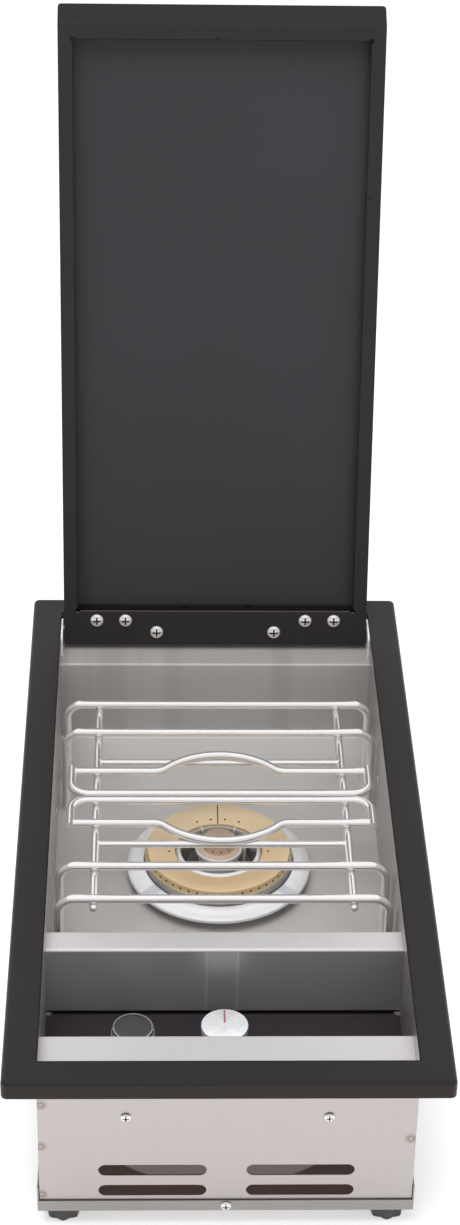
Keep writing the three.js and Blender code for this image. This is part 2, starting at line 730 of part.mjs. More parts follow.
// The cast base: an open gas channel, an air gap round a middle pedestal, and the neck for the mixer tube.
function addBurnerBase() {
  const rim = floorTop + BASE_HEIGHT;
  const bowlBottom = floorTop - BOWL_DEPTH;
  const channelFloor = floorTop - 10;
  const pot = spun([
    [0, bowlBottom],
    [BOWL_RADIUS, bowlBottom],
    [BOWL_RADIUS, floorTop],
    [BASE_RADIUS, floorTop],
    [BASE_RADIUS, rim],
    [BOWL_RADIUS + 1, rim],
    [BOWL_RADIUS + 1, rim - 5],
    [BOWL_RADIUS - 4, rim - 5],
    [BOWL_RADIUS - 4, channelFloor],
    [innerWall + 3, channelFloor],
    [innerWall + 3, floorTop + BASE_INNER_HEIGHT],
    [innerWall, floorTop + BASE_INNER_HEIGHT],
    [innerWall, channelFloor + 4],
    [PEDESTAL_RADIUS, channelFloor + 4],
    [PEDESTAL_RADIUS, pedestalTop],
    [0, pedestalTop],
  ], 0, burnerY, MIDDLE_SIDES);
  const neckEnd = burnerY - BOWL_RADIUS - 8;
  const neck = rod(
    MIXER_RADIUS + 1, new THREE.Vector3(0, neckEnd, mixerZ), inward, burnerY - neckEnd - 20,
    SMALL_SIDES,
  );
  const drop = floorTop - bowlBottom;
  const neckInBowl = neck.intersect(
    block(-BOWL_RADIUS, BOWL_RADIUS, neckEnd, burnerY, bowlBottom - drop, floorTop - 3),
  );
  addPiece(burner, "burner_base", join([pot, neckInBowl]), materials.castAluminium);
}

// A ring of round holes through a wall, each along a direction that leans up by an angle.
// The place of the first hole is given in spacings.
function radialPorts(count, first, radius, circle, z, lean, length, sides) {
  const holes = [];
  for (let i = 0; i < count; i++) {
    const angle = (2 * Math.PI * (i + first)) / count;
    const axis = new THREE.Vector3(
      Math.cos(angle) * Math.cos(lean), Math.sin(angle) * Math.cos(lean), Math.sin(lean),
    );
    const middle = new THREE.Vector3(circle * Math.cos(angle), burnerY + circle * Math.sin(angle), z);
    holes.push(rod(radius, middle.addScaledVector(axis, -length / 2), axis, length, sides));
  }
  return holes;
}

function addBurnerRing() {
  const seat = floorTop + BASE_HEIGHT;
  const top = floorTop + RING_TOP;
  const edge = RING_TOP_RADIUS - 1;
  const spigot = BOWL_RADIUS + 0.2;
  const profile = [
    [RING_FOOT_RADIUS, seat],
    [RING_FOOT_RADIUS, seat + 1],
    [RING_TOP_RADIUS, top - 1],
    [edge, top],
    [RING_BORE, top - RING_DISH],
    [RING_BORE, top - RING_DISH - RING_WALL],
    [RING_TOP_RADIUS - RING_WALL - 2, top - RING_WALL - 0.5],
    [RING_FOOT_RADIUS - 9, seat - 3],
    [spigot, seat - 3],
    [spigot, seat],
  ];
  const body = spunRing(profile, 0, burnerY, RING_PORTS);
  const ports = radialPorts(
    RING_PORTS, 0, RING_PORT_RADIUS, RING_TOP_RADIUS - 2, top - RING_PORT_DROP, RING_PORT_LEAN, 10, 4,
  );
  const holes = [];
  for (const degrees of RING_HOLE_ANGLES)
    for (const side of [-1, 1]) {
      const angle = (degrees * Math.PI) / 180;
      const x = side * RING_HOLE_CIRCLE * Math.sin(angle);
      const y = burnerY + RING_HOLE_CIRCLE * Math.cos(angle);
      const start = new THREE.Vector3(x, y, top - RING_DISH - RING_WALL - 2);
      holes.push(rod(RING_HOLE_RADIUS, start, Z_AXIS, 8, 6));
    }
  // The lighting groove follows the dished top from the bore to the rim.
  const slope = new THREE.Vector3(0, edge - RING_BORE, RING_DISH).normalize();
  const start = new THREE.Vector3(0, burnerY + RING_BORE, top - RING_DISH).addScaledVector(slope, -2);
  const groove = rod(GROOVE_RADIUS, start, slope, edge - RING_BORE + 6, 6);
  addPiece(burner, "burner_ring", cut(body, [...ports, ...holes, groove]), materials.brass);
}

function addInnerCone() {
  const seat = floorTop + BASE_INNER_HEIGHT;
  const top = floorTop + RING_TOP - RING_DISH - 0.2;
  const thickness = 1.4;
  const outer = RING_BORE - 0.3;
  const profile = [
    [CONE_BORE, seat + 3],
    [CONE_MOUTH, top],
    [outer, top],
    [outer, top - thickness],
    [CONE_MOUTH + 1, top - thickness],
    [innerWall + 3, seat + 4],
    [innerWall + 3, seat],
    [CONE_BORE, seat],
  ];
  addPiece(burner, "inner_cone", spunRing(profile, 0, burnerY, MIDDLE_SIDES), materials.steel);
}

function addBurnerCap() {
  const top = floorTop + CAP_TOP;
  const flange = floorTop + CAP_FLANGE_TOP;
  const spigot = PEDESTAL_RADIUS - 3;
  const body = spun([
    [0, pedestalTop],
    [spigot, pedestalTop],
    [spigot, flange - 3],
    [CAP_FLANGE_RADIUS, flange - 3],
    [CAP_FLANGE_RADIUS, flange - 0.5],
    [CAP_FLANGE_RADIUS - 0.5, flange],
    [CAP_RADIUS, flange],
    [CAP_RADIUS, top - 1],
    [CAP_RADIUS - 1, top],
    [0, top],
  ], 0, burnerY, 2 * CAP_PORTS);
  const ports = radialPorts(
    CAP_PORTS, CAP_TURN, CAP_PORT_RADIUS, CAP_RADIUS - 1, flange + CAP_PORT_LIFT, 0, 6, 6,
  );
  addPiece(burner, "burner_cap", cut(body, ports), materials.copper);
  const collar = spunRing([
    [spigot, flange - 3],
    [spigot, flange - 4.5],
    [COLLAR_RADIUS, flange - 4.5],
    [COLLAR_RADIUS, flange - 1],
    [CAP_FLANGE_RADIUS, flange - 1],
    [CAP_FLANGE_RADIUS, flange - 3],
  ], 0, burnerY, 2 * CAP_PORTS);
  addPiece(burner, "cap_collar", collar, materials.chrome);
}

// The spark electrode and the thermocouple stand in the air gap, one on each side of the rear.
function addProbes() {
  const foot = floorTop - 6;
  const shoulder = floorTop + PROBE_TOP;
  const lean = (PROBE_ANGLE * Math.PI) / 180;
  const place = (side) => new THREE.Vector3(
    side * PROBE_CIRCLE * Math.sin(lean), burnerY + PROBE_CIRCLE * Math.cos(lean), foot,
  );
  const left = place(-1);
  const right = place(1);
  const ceramic = rod(PROBE_RADIUS, left, Z_AXIS, shoulder - foot, 12);
  addPiece(burner, "electrode_ceramic", ceramic, materials.ceramic);
  // Each tip rises from its probe, then leans out over the cone.
  const tip = (start, side, radius) => wire(rounded([
    start,
    start.clone().add(new THREE.Vector3(0, 0, 7)),
    start.clone().add(new THREE.Vector3(
      side * PROBE_REACH * Math.sin(lean), PROBE_REACH * Math.cos(lean), 10.5,
    )),
  ], 1.6), radius, 8);
  addPiece(burner, "electrode_tip", tip(left.clone().setZ(shoulder), -1, 1.1), materials.chrome);
  const sleeve = rod(PROBE_RADIUS - 0.3, right, Z_AXIS, shoulder - foot, 12);
  const point = tip(right.clone().setZ(shoulder - 0.5), 1, 1.1);
  addPiece(burner, "thermocouple", join([sleeve, point]), materials.steel);
}

function addMixerTube() {
  const neckEnd = burnerY - BOWL_RADIUS - 8;
  const mouthEnd = valveOutlet.y + 18;
  const length = neckEnd - mouthEnd;
  const flare = 12;
  const profile = [
    [MIXER_RADIUS - MIXER_WALL, 0],
    [MIXER_RADIUS, 0],
    [MIXER_RADIUS, length - flare],
    [MIXER_MOUTH, length],
    [MIXER_MOUTH - MIXER_WALL, length],
    [MIXER_RADIUS - MIXER_WALL, length - flare],
  ];
  const points = [...profile, profile[0]].map(([radius, along]) => new THREE.Vector2(radius, along));
  const tube = new THREE.LatheGeometry(points, SMALL_SIDES).rotateZ(Math.PI);
  addPiece(burner, "mixer_tube", solid(tube.translate(0, neckEnd, mixerZ)), materials.castAluminium);
}

const valveRadius = 13;
const valveInlet = new THREE.Vector3(24, controlY, mixerZ);

function addGasValve() {
  const bottom = mixerZ - 11;
  const barrel = rod(
    valveRadius, new THREE.Vector3(0, controlY, bottom), Z_AXIS, panelUnderside - bottom, SMALL_SIDES,
  );
  const ears = block(-19, 19, controlY - 9, controlY + 9, panelUnderside - 2.5, panelUnderside);
  const outlet = rod(7, new THREE.Vector3(0, controlY, mixerZ), inward, valveOutlet.y - controlY, SCREW_SIDES);
  const inlet = rod(7, new THREE.Vector3(0, controlY, mixerZ), X_AXIS, valveInlet.x, SCREW_SIDES);
  const bore = rod(
    PLUNGER_RADIUS + STEM_GAP, new THREE.Vector3(0, controlY, panelUnderside - 18), Z_AXIS, 20, SMALL_SIDES,
  );
  const made = cut(join([barrel, ears, outlet, inlet]), [bore]);
  addPiece(burner, "gas_valve", made, materials.brass);
  const jet = new THREE.LatheGeometry([
    [0, 0], [5, 0], [5, 7], [2.2, 12], [0, 12],
  ].map(([radius, along]) => new THREE.Vector2(radius, along)), 12);
  addPiece(burner, "jet", solid(jet.translate(0, valveOutlet.y, mixerZ)), materials.brass);
}

// The knob turns on the stem; the plunger is the sprung sleeve that is pushed in before it turns.
function addKnob() {
  const bottom = panelTop + KNOB_LIFT;
  const top = bottom + KNOB_HEIGHT;
  const boreTop = top - 6;
  const body = spun([
    [0, bottom + 1],
    [KNOB_RADIUS - 1.6, bottom + 1],
    [KNOB_RADIUS - 1.6, bottom],
    [KNOB_RADIUS - 0.4, bottom],
    [KNOB_RADIUS, bottom + 0.8],
    [KNOB_RADIUS, top - 1],
    [KNOB_RADIUS - 1, top],
    [0, top],
  ], 0, controlY, WIDE_SIDES);
  const hub = rod(
    PLUNGER_RADIUS + 0.5, new THREE.Vector3(0, controlY, bottom), Z_AXIS, KNOB_HEIGHT - 2, SMALL_SIDES,
  );
  const bore = rod(
    STEM_RADIUS + STEM_GAP, new THREE.Vector3(0, controlY, bottom - 1), Z_AXIS, boreTop - bottom + 1, SMALL_SIDES,
  );
  const inlay = {
    x: 0.8, from: controlY + KNOB_RADIUS - 10.4, to: controlY + KNOB_RADIUS - 1.4, depth: 0.5,
  };
  const slot = block(-inlay.x, inlay.x, inlay.from, inlay.to, top - inlay.depth, top + 1);
  addPiece(burner, "knob", cut(join([body, hub]), [bore, slot]), materials.knobAluminium);
  const pointer = block(
    -inlay.x + 0.05, inlay.x - 0.05, inlay.from + 0.05, inlay.to - 0.05, top - inlay.depth, top,
  );
  addPiece(burner, "knob_pointer", pointer, materials.redPaint);
  const stemBottom = panelUnderside - 10;
  const stem = rod(
    STEM_RADIUS, new THREE.Vector3(0, controlY, stemBottom), Z_AXIS, boreTop - 0.1 - stemBottom, SMALL_SIDES,
  );
  addPiece(burner, "valve_stem", stem, materials.steel);
  const plungerTop = bottom - 0.1;
  const plungerBottom = panelUnderside - 12;
  const plunger = spunRing([
    [STEM_RADIUS + STEM_GAP, plungerBottom],
    [PLUNGER_RADIUS, plungerBottom],
    [PLUNGER_RADIUS, plungerTop],
    [STEM_RADIUS + STEM_GAP, plungerTop],
  ], 0, controlY, SMALL_SIDES);
  addPiece(burner, "valve_plunger", plunger, materials.brass);
}

const igniterNeck = 11;
const buttonStem = 5;

function addIgniter() {
  const collarTop = panelTop + IGNITER_HEIGHT;
  const collarFloor = panelTop + 1.5;
  const bore = IGNITER_RADIUS - 1.1;
  const collar = spunRing([
    [igniterNeck, panelTop],
    [IGNITER_RADIUS, panelTop],
    [IGNITER_RADIUS, collarTop - 0.5],
    [IGNITER_RADIUS - 0.5, collarTop],
    [bore, collarTop],
    [bore, collarFloor],
    [igniterNeck, collarFloor],
  ], IGNITER_X, controlY, MIDDLE_SIDES);
  addPiece(burner, "igniter_collar", collar, materials.chrome);
  const bodyBottom = trayTop + IGNITER_CLEARANCE;
  const housing = spun([
    [0, bodyBottom],
    [12, bodyBottom],
    [13, bodyBottom + 1],
    [13, panelUnderside],
    [igniterNeck, panelUnderside],
    [igniterNeck, panelTop - 0.2],
    [buttonStem + BUTTON_GAP, panelTop - 0.2],
    [buttonStem + BUTTON_GAP, panelTop - 12],
    [0, panelTop - 12],
  ], IGNITER_X, controlY, SMALL_SIDES);
  addPiece(burner, "igniter_housing", housing, materials.darkPlastic);
  const rimRadius = bore - BUTTON_GAP;
  const capRadius = rimRadius - 1.2;
  const top = collarTop + BUTTON_RISE;
  const bottom = collarFloor + 4;
  const rim = spunRing([
    [capRadius, bottom + 3],
    [rimRadius, bottom + 3],
    [rimRadius, top - 0.6],
    [rimRadius - 0.6, top],
    [capRadius, top],
  ], IGNITER_X, controlY, MIDDLE_SIDES);
  addPiece(burner, "igniter_rim", rim, materials.chrome);
  const cap = spun([
    [0, panelTop - 5],
    [buttonStem, panelTop - 5],
    [buttonStem, bottom + 3],
    [capRadius, bottom + 3],
    [capRadius, top - 0.8],
    [capRadius - 2, top - 0.3],
    [0, top - 0.1],
  ], IGNITER_X, controlY, MIDDLE_SIDES);
  addPiece(burner, "igniter_cap", cap, materials.darkPlastic);
}

function addGasPipe() {
  const start = valveInlet;
  const end = new THREE.Vector3(pipeX, fittingY - SHEET - 9, mixerZ);
  const corner = new THREE.Vector3(pipeX, controlY, mixerZ);
  addPiece(burner, "gas_pipe", wire(rounded([start, corner, end], PIPE_BEND, 6), PIPE_RADIUS), materials.steel);
  const nipple = rod(PIPE_RADIUS + 1.5, end, inward, 9 + SHEET + 22, SMALL_SIDES);
  const nutInside = rod(11, end, inward, 9, 6);
  const nutOutside = rod(11, new THREE.Vector3(pipeX, fittingY, mixerZ), inward, 7, 6);
  const bore = rod(
    PIPE_RADIUS - 1, new THREE.Vector3(pipeX, fittingY + 4, mixerZ), inward, 30, SCREW_SIDES,
  );
  const fitting = cut(join([nipple, nutInside, nutOutside]), [bore]);
  addPiece(burner, "inlet_fitting", fitting, materials.brass);
}

// The lid's own group stands at the hinge axis; its pieces are laid out closed, then the group swings open.
const lidRear = openingRear - LID_REAR_GAP;
const pivotY = lidRear - PIVOT_FROM_REAR;
const lidHalf = halfOpening - LID_GAP;
const lidFront = lidRear - LID_LENGTH;
const lidGroup = new THREE.Group();
lidGroup.position.set(0, pivotY, -PIVOT_DROP);
lidGroup.rotation.x = (-LID_OPEN_ANGLE * Math.PI) / 180;
const lidParts = new THREE.Group();
lidParts.position.set(0, -pivotY, PIVOT_DROP);
lidGroup.add(lidParts);
burner.add(lidGroup);

// The lid's side view, drawn in by a wall: a sloped front and a rounded heel that swings past the ledge.
function lidProfile(inset) {
  const slope = LID_FRONT_SLOPE / LID_THICKNESS;
  const along = inset * Math.hypot(1, slope) - inset * slope;
  const bottom = -LID_THICKNESS + inset;
  const rear = lidRear - inset;
  const heel = LID_HEEL_RADIUS - inset;
  const profile = [
    [lidFront + along + inset * slope, -inset],
    [lidFront + along + (LID_THICKNESS - inset) * slope, bottom],
  ];
  for (let i = 0; i <= 4; i++) {
    const angle = (i / 4) * QUARTER;
    profile.push([rear - heel + heel * Math.sin(angle), bottom + heel - heel * Math.cos(angle)]);
  }
  profile.push([rear, -inset]);
  return profile;
}

function addLidShell() {
  const middle = (lidRear + lidFront) / 2;
  const outer = roundedPlate(
    2 * lidHalf, LID_LENGTH, LID_EDGE_RADIUS + 1, LID_EDGE_RADIUS, -LID_THICKNESS - 1, 0,
  ).translate([0, middle, 0]);
  const skin = outer.intersect(folded(lidProfile(0), 2 * lidHalf + 2));
  const hollow = folded(lidProfile(SHEET), 2 * (lidHalf - SHEET));
  const innerFront = lidFront + LID_FRONT_SLOPE + LID_BORDER;
  const opening = block(
    -lidHalf + LID_BORDER, lidHalf - LID_BORDER, innerFront, lidRear - LID_HINGE_BORDER,
    -LID_THICKNESS - 1, -LID_THICKNESS / 2,
  );
  const pinHole = rod(
    PIN_RADIUS + 0.35, new THREE.Vector3(-lidHalf - 1, pivotY, -PIVOT_DROP), X_AXIS, 2 * lidHalf + 2, SMALL_SIDES,
  );
  const screwHoles = lidScrewPlaces().map(({ x, y }) =>
    rod(screwHole, new THREE.Vector3(x, y, -LID_THICKNESS - 1), Z_AXIS, 4, HOLE_SIDES),
  );
  const notches = [];
  for (const x of [-1, 1])
    for (const y of [innerFront, lidRear - LID_HINGE_BORDER])
      notches.push(
        rod(LID_NOTCH, new THREE.Vector3(x * (lidHalf - LID_BORDER), y, -LID_THICKNESS - 1), Z_AXIS, 4, 8),
      );
  const made = cut(skin, [hollow, opening, pinHole, ...notches, ...screwHoles]);
  addPiece(lidParts, "lid_shell", made, materials.blackPaint);
}

function lidScrewPlaces() {
  const places = [];
  for (const [side, sign] of [["left", -1], ["right", 1]])
    LID_SCREW_PLACES.forEach(([inset, fromRear], i) =>
      places.push({
        name: `lid_screw_${side}_${i + 1}`,
        x: sign * (lidHalf - inset),
        y: lidRear - fromRear,
      }),
    );
  return places;
}

function addHingeArms() {
  const seat = -LID_THICKNESS + SHEET + ARM_SEAT_GAP;
  const sideFace = lidHalf - SHEET - 0.2;
  for (const [name, side] of [["hinge_arm_left", -1], ["hinge_arm_right", 1]]) {
    const foot = block(
      side * sideFace, side * (sideFace - ARM_LENGTH), lidRear - LID_HINGE_BORDER + 2, lidRear - 5.5,
      seat, seat + ARM_SHEET,
    );
    const ear = block(
      side * sideFace, side * (sideFace - ARM_SHEET), pivotY - 10, lidRear - 5.5, seat, -3,
    );
    const hole = rod(
      PIN_RADIUS + PIN_RUNNING_GAP, new THREE.Vector3(side * (sideFace + 1), pivotY, -PIVOT_DROP),
      new THREE.Vector3(-side, 0, 0), ARM_SHEET + 2, SMALL_SIDES,
    );
    const holes = lidScrewPlaces().map(({ x, y }) =>
      rod(screwHole, new THREE.Vector3(x, y, seat - 1), Z_AXIS, ARM_SHEET + 2, HOLE_SIDES),
    );
    addPiece(lidParts, name, cut(join([foot, ear]), [hole, ...holes]), materials.steel);
  }
}

function addLidScrews() {
  for (const { name, x, y } of lidScrewPlaces()) {
    const seat = new THREE.Vector3(x, y, -LID_THICKNESS);
    addPiece(lidParts, name, screw(seat, Z_AXIS, LID_SCREW_HEAD, 2.9, 6), materials.chrome);
  }
}

function addHinges() {
  const rear = openingRear - 3.8;
  const front = rear - PLATE_LENGTH;
  const outline = [[front, -LEDGE_DROP], [rear, -LEDGE_DROP]];
  for (const [y, start] of [[rear - PLATE_CORNER, 0], [front + PLATE_CORNER, QUARTER]])
    for (let i = 0; i <= 4; i++) {
      const angle = start + (i / 4) * QUARTER;
      outline.push([
        y + PLATE_CORNER * Math.cos(angle),
        -PLATE_TOP_DROP - PLATE_CORNER + PLATE_CORNER * Math.sin(angle),
      ]);
    }
  for (const [side, label] of [[-1, "left"], [1, "right"]]) {
    const plate = folded(outline, PLATE_SHEET).translate([side * (halfOpening - PLATE_SHEET / 2), 0, 0]);
    const axis = new THREE.Vector3(-side, 0, 0);
    const start = new THREE.Vector3(side * halfOpening, pivotY, -PIVOT_DROP);
    const hole = rod(
      PIN_RADIUS + 0.05, start.clone().addScaledVector(axis, -1), axis, PLATE_SHEET + 2, SMALL_SIDES,
    );
    addPiece(burner, `hinge_plate_${label}`, plate.subtract(hole), materials.steel);
    const earInner = halfOpening - (lidHalf - SHEET - 0.2 - ARM_SHEET);
    const shaft = rod(PIN_RADIUS, start, axis, earInner + 2, SMALL_SIDES);
    const headStart = start.clone().addScaledVector(axis, earInner + 0.2);
    const head = rod(PIN_RADIUS + 1.6, headStart, axis, 2, SMALL_SIDES);
    addPiece(burner, `hinge_pin_${label}`, join([shaft, head]), materials.steel);
  }
}

addTrimFrame();
addSidePanels();
addFrontPanel();
addRearPanel();
addBottomTray();
addFireboxLiner();
addDivider();
addFrontRail();
addControlPanel();
addBodyScrews();
addFeet();
addGrates();
addTrimRing();
addBurnerBase();
addBurnerRing();
addInnerCone();
addBurnerCap();
addProbes();
addMixerTube();
addGasValve();
addKnob();
addIgniter();
addGasPipe();
addLidShell();
addHingeArms();
addLidScrews();
addHinges();

// Stand the finished burner on its feet, with the middle of its outline over the origin.
const sideBurner = new THREE.Group();
sideBurner.add(burner);
const outline = new THREE.Box3().setFromObject(sideBurner, true);
burner.position.set(0, -(outline.min.y + outline.max.y) / 2, -outline.min.z);

export default sideBurner;
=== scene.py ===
# %% [markdown]
# # A built in side burner
#
# This lesson dresses a CAD model of a drop-in side burner: a long stainless firebox under a black frame,
# with a tall lid, two wire grates, a brass burner and a small control bay. The CAD model gives every piece
# its place. Some pieces only need softer edges and a finish, and others are modelled again with finer
# shapes.
#
# ## Load the model
#
# The model could be rebuilt from nothing, but then each piece would have to be fitted by eye. Loading it
# as a fixed frame keeps every size true, and a new piece can read its seat from the node that it stands
# for.

# %% Load the model and measure it
import json
import math

import bmesh
import bpy
from mathutils import Matrix, Vector


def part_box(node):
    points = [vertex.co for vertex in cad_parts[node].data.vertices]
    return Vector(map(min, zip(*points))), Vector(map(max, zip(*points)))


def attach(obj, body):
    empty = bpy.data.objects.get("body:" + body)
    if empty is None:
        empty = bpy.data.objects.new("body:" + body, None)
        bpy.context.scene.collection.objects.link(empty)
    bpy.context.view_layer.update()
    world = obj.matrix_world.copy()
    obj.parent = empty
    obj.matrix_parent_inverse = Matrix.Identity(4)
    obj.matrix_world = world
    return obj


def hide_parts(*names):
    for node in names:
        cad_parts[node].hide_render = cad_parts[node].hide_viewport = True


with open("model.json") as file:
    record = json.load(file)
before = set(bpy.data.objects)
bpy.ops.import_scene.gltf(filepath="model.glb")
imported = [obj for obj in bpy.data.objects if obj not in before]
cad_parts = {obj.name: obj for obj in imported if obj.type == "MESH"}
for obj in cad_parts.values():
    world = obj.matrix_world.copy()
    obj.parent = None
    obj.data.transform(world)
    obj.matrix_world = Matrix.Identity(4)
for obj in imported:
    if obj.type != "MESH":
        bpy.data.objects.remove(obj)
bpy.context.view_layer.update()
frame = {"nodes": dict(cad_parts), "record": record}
nodes = frame["nodes"]
body_of = {node: body for body, names in frame["record"]["behaviour"]["bodies"].items() for node in names}
MM = 0.001
TURN = 2 * math.pi
X, Y, Z = Vector((1, 0, 0)), Vector((0, 1, 0)), Vector((0, 0, 1))

# %% [markdown]
# ## The camera
#
# The photographer stood in front and looked down by a third of a right angle, with a long lens, so that
# the tall lid hardly narrows. The view could be set by eye, but a tall frame shows every degree of error.
# Here the tilt, the small turn and the small roll come from the corners of the trim frame, and the lens
# from its narrowing. The angles are in radians.

# %% Set up the camera
LENS, SENSOR = 80.28, 36
DOWN, ASIDE, ROLL = 0.5725, 0.0328, 0.0203
CAMERA_PLACE = (-0.05641, -1.87706, 1.55693)

scene = bpy.context.scene
camera = bpy.data.objects.new("camera", bpy.data.cameras.new("camera"))
scene.collection.objects.link(camera)
scene.camera = camera
camera.data.lens, camera.data.sensor_width = LENS, SENSOR
forward = Vector((math.sin(ASIDE) * math.cos(DOWN), math.cos(ASIDE) * math.cos(DOWN), -math.sin(DOWN)))
level = Vector((math.cos(ASIDE), -math.sin(ASIDE), 0))
upward = level.cross(forward)
right = level * math.cos(ROLL) + upward * math.sin(ROLL)
above = upward * math.cos(ROLL) - level * math.sin(ROLL)
turn = Matrix((right, above, -forward)).transposed().to_4x4()
camera.matrix_world = Matrix.Translation(CAMERA_PLACE) @ turn
print("camera lens in mm:", round(camera.data.lens, 1))

# %% [markdown]
# ## A way to write materials
#
# A material is a graph of nodes. It could be drawn by hand in the editor, but a script is easier to read
# when its sums look like sums. `Signal` wraps one output socket, and its operators add the Math nodes.
# `Graph` adds any kind of node with a single method, and `Finish` is the graph of one material.


# %% Signals, graphs and finishes
MIX_COLORS, MIX_RESULT = (6, 7), 2  # the sockets of a Mix node that carry colours


class Signal:
    """A number or colour that varies over a surface."""

    def __init__(self, graph, socket):
        self.graph, self.socket = graph, socket

    def __add__(self, other):
        return self.graph.maths("ADD", self, other)

    def __sub__(self, other):
        return self.graph.maths("SUBTRACT", self, other)

    def __rsub__(self, other):
        return self.graph.maths("SUBTRACT", other, self)

    def __mul__(self, other):
        return self.graph.maths("MULTIPLY", self, other)

    def __truediv__(self, other):
        return self.graph.maths("DIVIDE", self, other)

    def __pow__(self, other):
        return self.graph.maths("POWER", self, other)

    def __abs__(self):
        return self.graph.maths("ABSOLUTE", self)

    __radd__ = __add__

    def most(self, other):
        """The larger of two numbers."""
        return self.graph.maths("MAXIMUM", self, other)

    def over(self, limit, softness=1e-4):
        """1 where the number is above a limit, 0 below it, with a soft step between."""
        values = {"Value": self, "From Min": limit - softness, "From Max": limit + softness}
        return self.graph.node("ShaderNodeMapRange", {"interpolation_type": "SMOOTHSTEP"}, values)

    def within(self, low, high, softness=1e-4):
        """1 where the number is between two limits."""
        return self.over(low, softness) - self.over(high, softness)


class Graph:
    """A tree of nodes, and the ways to add to it."""

    def __init__(self, tree):
        self.tree = tree

    def node(self, kind, settings=None, values=None, output=0):
        """Adds a node; values holds a number or a signal for each input."""
        made = self.tree.nodes.new(kind)
        for key, value in (settings or {}).items():
            setattr(made, key, value)
        for key, value in (values or {}).items():
            if isinstance(value, Signal):
                self.tree.links.new(value.socket, made.inputs[key])
            else:
                made.inputs[key].default_value = value
        return Signal(self, made.outputs[output])

    def maths(self, operation, *terms):
        """Adds a Math node."""
        return self.node("ShaderNodeMath", {"operation": operation}, dict(enumerate(terms)))

    def split(self, vector):
        """The three parts of a vector, one signal each."""
        first = self.node("ShaderNodeSeparateXYZ", {}, {0: vector})
        return [Signal(self, socket) for socket in first.socket.node.outputs]

    def blend(self, factor, first, second):
        """Mixes two colours by a factor."""
        values = {"Factor": factor}
        for key, color in zip(MIX_COLORS, (first, second)):
            values[key] = color if isinstance(color, Signal) else (*color, 1)
        settings = {"data_type": "RGBA", "clamp_factor": True}
        return self.node("ShaderNodeMix", settings, values, output=MIX_RESULT)


class Finish(Graph):
    """One material: a Principled shader and the nodes that drive it."""

    def __init__(self, name, color, metallic, roughness, **constants):
        self.material = bpy.data.materials.new(name)
        self.material.use_nodes = True
        super().__init__(self.material.node_tree)
        self.shader = self.tree.nodes["Principled BSDF"]
        self.color = color
        constants = {"Base Color": (*color, 1), "Metallic": metallic, "Roughness": roughness, **constants}
        for socket, value in constants.items():
            self.shader.inputs[socket.replace("_", " ")].default_value = value

    def place(self, centre=(0, 0, 0), scale=(1, 1, 1)):
        """Object coordinates, moved to a centre and then scaled."""
        where = self.node("ShaderNodeTexCoord", output="Object")
        where = self.node("ShaderNodeVectorMath", {"operation": "SUBTRACT"}, {0: where, 1: centre})
        return self.node("ShaderNodeVectorMath", {"operation": "MULTIPLY"}, {0: where, 1: scale})

    def axes(self, centre=(0, 0, 0)):
        """The three coordinates from a centre, one signal each."""
        return self.split(self.place(centre))

    def radius(self, axis):
        """The distance from an upright axis."""
        x, y, _ = self.axes(axis)
        return (x * x + y * y) ** 0.5

    def near(self, places, radius, softness):
        """1 close to any of a few places, 0 further away than a radius."""
        away = 1.0
        for place in places:
            values = {0: self.place(), 1: place}
            far = self.node("ShaderNodeVectorMath", {"operation": "DISTANCE"}, values, output="Value")
            away = far.over(radius, softness) * away
        return 1.0 - away

    def noise(self, scale=1, detail=3, where=None):
        """A soft random field; a larger scale, one for all axes or one for each, makes it finer."""
        where = where or self.place(scale=scale if isinstance(scale, tuple) else (scale,) * 3)
        values = {"Vector": where, "Scale": 1.0, "Detail": detail, "Roughness": 0.55}
        return self.node("ShaderNodeTexNoise", {}, values)

    def drive(self, socket, signal):
        """Lets a signal set one input of the shader."""
        self.tree.links.new(signal.socket, self.shader.inputs[socket])
        return self

    def tint(self, factor, color):
        """Lays a colour over the material's own colour by a factor."""
        own = Signal(self, self.shader.inputs["Base Color"].links[0].from_socket)
        return self.drive("Base Color", self.blend(factor, own, color))

    def emboss(self, height, distance, strength=1.0):
        """Turns a height from 0 to 1 into relief of the given depth in metres."""
        values = {"Height": height, "Distance": distance, "Strength": strength}
        return self.drive("Normal", self.node("ShaderNodeBump", {}, values))


def shade(color, factor):
    """A colour, lighter or darker by a factor."""
    return tuple(min(channel * factor, 1.0) for channel in color)


print("a red at half its light:", shade((0.8, 0.1, 0.1), 0.5))

# %% [markdown]
# ## Light and floor
#
# The product stands in a white studio. Bright metal shows what is round it, so the world is pure white to
# the camera and to reflections, but it lights the object more weakly. A soft grey band at the height of
# the camera stands for the darker room behind the photographer, and it draws the thin grey line along
# every round wire. Two large soft lamps give the rest, at a level at which a colour renders about as it is
# written. They don't show in the metal, so that no highlight burns out. The floor, laid last, is nearly
# white and still takes the shadow.


# %% Light the studio
def studio_world(strength, band, height, spread):
    """A world that is white to the camera, dimmer as a light, and has a grey band in reflections."""
    world = bpy.data.worlds.new("white_studio")
    scene.world = world
    world.use_nodes = True
    graph = Graph(world.node_tree)
    backdrop = world.node_tree.nodes["Background"]
    backdrop.inputs["Color"].default_value = (1, 1, 1, 1)
    _, y, z = graph.split(graph.node("ShaderNodeTexCoord", output="Generated"))
    away = (z - height) / spread
    dip = graph.maths("EXPONENT", away * away * -1.0) * (1 - band)
    mirrored = 1.0 - dip * graph.maths("LESS_THAN", y, 0.0)
    from_metal = graph.node("ShaderNodeLightPath", output="Is Glossy Ray")
    from_camera = graph.node("ShaderNodeLightPath", output="Is Camera Ray")
    light = (from_metal * mirrored).most(strength).most(from_camera)
    graph.tree.links.new(light.socket, backdrop.inputs["Strength"])


